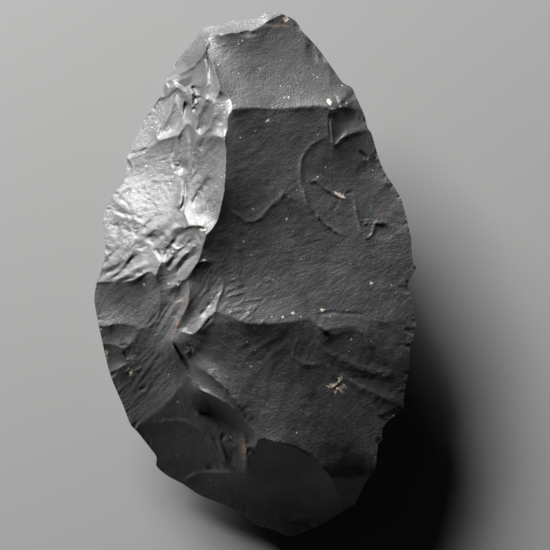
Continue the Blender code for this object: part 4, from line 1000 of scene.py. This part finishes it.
# Crust and rust: middle on the grid, half sizes on the grid, and turn in degrees
CRUST = [(286, 19, 3, 3, 0), (329, 102, 3.5, 1.6, -60), (334, 110, 3.5, 1.5, -10),
         (339, 195, 6, 2, -25), (332, 385, 5, 2.2, 12), (339, 381, 6.5, 2.0, 62),
         (337, 388, 6.5, 2.0, -35), (342, 386, 4, 2.2, 0),
         (335.5, 389, 5, 2.0, 80), (181, 171, 3.0, 1.6, 40),
         (268, 121, 3, 1.2, 30), (377, 156, 2, 3, 0), (106, 355, 1.5, 5, 0), (130, 372, 3, 4, 0),
         (205, 260, 3, 1.2, 0), (203, 230, 4, 1.2, -5), (283, 317, 1.8, 1.2, 0),
         (293, 313, 2, 1.2, 0), (322, 310, 2, 1.6, 0), (371, 283, 2, 2, 0), (230, 103, 1.2, 3, 20)]
RUST = [(276, 26, 12, 0.9, 0), (187, 299, 6, 1.1, 95), (184, 311, 5, 1.2, 58), (177.5, 322, 5, 1.5, 80),
        (173.5, 335, 6, 1.0, 65),
        (108, 350, 5, 2.0, -60), (184, 365, 20, 1.1, -60), (244, 449, 1.6, 22, 0),
        (381, 214, 2, 2, 0), (329, 126, 0.9, 11, 0), (132, 360, 6, 1.2, -60)]
# The steep flank, whose ground is coarser than that of the broad face
FLANK = [(160, 172, 122, 52, 65), (150, 325, 85, 58, 105)]


class Nodes:
    """Short names for the node calls that the material makes."""

    def __init__(self, material):
        self.tree = material.node_tree
        self.coords = self.tree.nodes.new("ShaderNodeTexCoord").outputs["Object"]

    def wire(self, value, socket):
        if isinstance(value, bpy.types.NodeSocket):
            self.tree.links.new(value, socket)
        else:
            socket.default_value = value

    def math(self, kind, *values):
        node = self.tree.nodes.new("ShaderNodeMath")
        node.operation = kind
        for value, socket in zip(values, node.inputs):
            self.wire(value, socket)
        return node.outputs[0]

    def noise(self, size, detail=3.0, roughness=0.55, stretch=None, turn=0.0):
        node = self.tree.nodes.new("ShaderNodeTexNoise")
        node.inputs["Scale"].default_value = 1 / (size * MM)
        node.inputs["Detail"].default_value = detail
        node.inputs["Roughness"].default_value = roughness
        place = self.coords
        if stretch:
            mapping = self.tree.nodes.new("ShaderNodeMapping")
            mapping.vector_type = "TEXTURE"
            mapping.inputs["Rotation"].default_value = (0, 0, math.radians(turn))
            mapping.inputs["Scale"].default_value = (stretch, 1, 1)
            self.wire(place, mapping.inputs["Vector"])
            place = mapping.outputs[0]
        self.wire(place, node.inputs["Vector"])
        return node.outputs["Fac"]

    def ramp(self, value, low, high, start=0.0, end=1.0):
        node = self.tree.nodes.new("ShaderNodeMapRange")
        node.interpolation_type = "SMOOTHSTEP"
        self.wire(value, node.inputs["Value"])
        for name, number in (("From Min", low), ("From Max", high), ("To Min", start),
                             ("To Max", end)):
            node.inputs[name].default_value = number
        return node.outputs["Result"]

    def mix(self, share, first, second):
        node = self.tree.nodes.new("ShaderNodeMix")
        node.data_type = "RGBA"
        self.wire(share, node.inputs["Factor"])
        self.wire(first, node.inputs[6])
        self.wire(second, node.inputs[7])
        return node.outputs[2]

    def specks(self, size, share, radius, seed):
        """Small round spots, one in some of the cells of a grid of points."""
        node = self.tree.nodes.new("ShaderNodeTexVoronoi")
        node.inputs["Scale"].default_value = 1 / (size * MM)
        mapping = self.tree.nodes.new("ShaderNodeMapping")
        mapping.inputs["Location"].default_value = (seed, 2 * seed, 0)
        self.wire(self.coords, mapping.inputs["Vector"])
        self.wire(mapping.outputs[0], node.inputs["Vector"])
        chosen = self.tree.nodes.new("ShaderNodeSeparateColor")
        self.wire(node.outputs["Color"], chosen.inputs[0])
        few = self.math("LESS_THAN", chosen.outputs[0], share)
        reach = self.math("MULTIPLY", chosen.outputs[1], radius)
        spot = self.math("LESS_THAN", node.outputs["Distance"], reach)
        return self.math("MULTIPLY", few, spot)

    def patches(self, rows, ragged):
        """1 inside the ovals of a table, with ragged edges, on the upper face only."""
        nearest = None
        for x, y, half_x, half_y, turn in rows:
            mapping = self.tree.nodes.new("ShaderNodeMapping")
            mapping.vector_type = "TEXTURE"
            place = on_grid((x, y)) * MM
            mapping.inputs["Location"].default_value = (place[0], place[1], 0)
            mapping.inputs["Rotation"].default_value = (0, 0, math.radians(turn))
            mapping.inputs["Scale"].default_value = (half_x * GRID * MM, half_y * GRID * MM, 1e3)
            self.wire(self.coords, mapping.inputs["Vector"])
            length = self.tree.nodes.new("ShaderNodeVectorMath")
            length.operation = "LENGTH"
            self.wire(mapping.outputs[0], length.inputs[0])
            away = length.outputs["Value"]
            nearest = away if nearest is None else self.math("MINIMUM", nearest, away)
        uneven = self.math("MULTIPLY_ADD", self.noise(0.7, 4.0, 0.7), ragged, nearest)
        inside_patch = self.ramp(uneven, 0.5 * ragged + 1.05, 0.5 * ragged + 0.75)
        upward = self.tree.nodes.new("ShaderNodeSeparateXYZ")
        self.wire(self.coords, upward.inputs[0])
        return self.math("MULTIPLY", inside_patch,
                         self.math("GREATER_THAN", upward.outputs["Z"], 0.008))


def flint():
    """Black flint: satin on its scars, finely grained, with pale specks, painted pit shade, crust and
    rust.
    """
    material = bpy.data.materials.new("flint")
    material.use_nodes = True
    nodes = Nodes(material)
    shader = material.node_tree.nodes["Principled BSDF"]
    shade = nodes.ramp(nodes.noise(9.0, 4.0, 0.6), 0.35, 0.65)
    colour = nodes.mix(shade, (0.050, 0.050, 0.051, 1), (0.072, 0.072, 0.073, 1))
    mottle = nodes.ramp(nodes.noise(1.1, 5.0, 0.7), 0.52, 0.75, 0.0, 0.5)
    colour = nodes.mix(mottle, colour, (0.100, 0.099, 0.097, 1))
    specks = nodes.math("MAXIMUM", nodes.specks(2.6, 0.35, 0.13, 0.3),
                        nodes.specks(1.0, 0.10, 0.20, 0.7))
    colour = nodes.mix(specks, colour, (0.42, 0.41, 0.38, 1))
    # Near-black specks painted as the shade inside small pits; the surface has no hollows under them
    painted_pit_shade = nodes.specks(1.3, 0.16, 0.22, 0.4)
    colour = nodes.mix(nodes.math("MULTIPLY", painted_pit_shade, 0.7), colour, (0.012, 0.012, 0.012, 1))
    rust = nodes.patches(RUST, 4.0)
    colour = nodes.mix(nodes.math("MULTIPLY", rust, 0.45), colour, (0.17, 0.08, 0.03, 1))
    crust = nodes.patches(CRUST, 3.4)
    crust_tone = nodes.mix(nodes.noise(0.4), (0.26, 0.19, 0.13, 1), (0.66, 0.61, 0.53, 1))
    colour = nodes.mix(crust, colour, crust_tone)
    nodes.wire(colour, shader.inputs["Base Color"])

    gloss = nodes.ramp(nodes.noise(5.0, 4.0, 0.6), 0.3, 0.7, 0.34, 0.46)
    dull = nodes.math("MAXIMUM", crust, nodes.math("MULTIPLY", rust, 0.4))
    nodes.wire(nodes.math("MULTIPLY_ADD", dull, 0.35, gloss), shader.inputs["Roughness"])
    shader.inputs["Specular IOR Level"].default_value = 0.6
    shader.inputs["IOR"].default_value = 1.54

    grain = nodes.math("MULTIPLY_ADD", nodes.noise(0.28, 2.0, 0.7), 0.9,
                       nodes.noise(0.7, 4.0, 0.65))
    grain = nodes.math("MULTIPLY_ADD", nodes.noise(0.40, 3.0, 0.65, 3.0, 28.0), 0.5, grain)
    coarse = nodes.math("MULTIPLY", nodes.patches(FLANK, 0.3), nodes.noise(1.3, 6.0, 0.72, 2.2, 38.0))
    grain = nodes.math("MULTIPLY_ADD", coarse, 1.2, grain)
    bump = nodes.tree.nodes.new("ShaderNodeBump")
    bump.inputs["Distance"].default_value = 0.12 * MM
    bump.inputs["Strength"].default_value = 1.0
    nodes.wire(grain, bump.inputs["Height"])
    nodes.wire(bump.outputs[0], shader.inputs["Normal"])
    return material


def plain_material(name, colour, roughness):
    material = bpy.data.materials.new(name)
    material.use_nodes = True
    shader = material.node_tree.nodes["Principled BSDF"]
    shader.inputs["Base Color"].default_value = (*colour, 1)
    shader.inputs["Roughness"].default_value = roughness
    return material


def lay_floor():
    bpy.ops.mesh.primitive_plane_add(size=6.0, location=(0, 0, 0))
    floor = bpy.context.object
    floor.name = "floor"
    floor.data.materials.append(plain_material("paper", (0.22, 0.22, 0.217), 0.9))


def soft_light(name, aim, direction, away, width, height, power):
    """An area light that shines at a point from a direction, given as turn and rise in degrees."""
    lamp = bpy.data.lights.new(name, "AREA")
    lamp.shape = "RECTANGLE"
    lamp.size, lamp.size_y, lamp.energy = width, height, power
    light = bpy.data.objects.new(name, lamp)
    turn, rise = map(math.radians, direction)
    back = Vector((math.cos(turn) * math.cos(rise), math.sin(turn) * math.cos(rise),
                   math.sin(rise)))
    light.location = Vector(aim) + back * away
    light.rotation_mode = "QUATERNION"
    light.rotation_quaternion = back.to_track_quat("Z", "Y")
    bpy.context.scene.collection.objects.link(light)


def light_stage():
    aim = (0.0, 0.0, 0.025)
    soft_light("key", aim, (120, 19), 1.0, 0.6, 0.35, 52.0)
    world = bpy.data.worlds.new("studio")
    world.use_nodes = True
    world.node_tree.nodes["Background"].inputs["Color"].default_value = (1, 1, 1, 1)
    world.node_tree.nodes["Background"].inputs["Strength"].default_value = 0.01
    bpy.context.scene.world = world
    bpy.context.scene.view_settings.view_transform = "Standard"


def place_camera():
    """Straight above, so far away that the picture hardly narrows with height."""
    camera = bpy.data.cameras.new("camera")
    camera.sensor_width = 36.0
    view = bpy.data.objects.new("camera", camera)
    bpy.context.scene.collection.objects.link(view)
    middle = on_grid((PICTURE / 2, PICTURE / 2)) * MM
    view.location = (middle[0], middle[1], RIM_HEIGHT + CAMERA_AWAY)
    camera.lens = camera.sensor_width * CAMERA_AWAY / (PICTURE * GRID * MM)
    bpy.context.scene.camera = view


PICTURE = 550
RIM_HEIGHT = 0.020
CAMERA_AWAY = 2.4

stone = bpy.data.objects.new("flaked_stone", stone_mesh())
stone.data.materials.clear()
stone.data.materials.append(flint())
bpy.context.scene.collection.objects.link(stone)
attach(stone, "root")
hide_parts("hand_axe")
lay_floor()
light_stage()
place_camera()
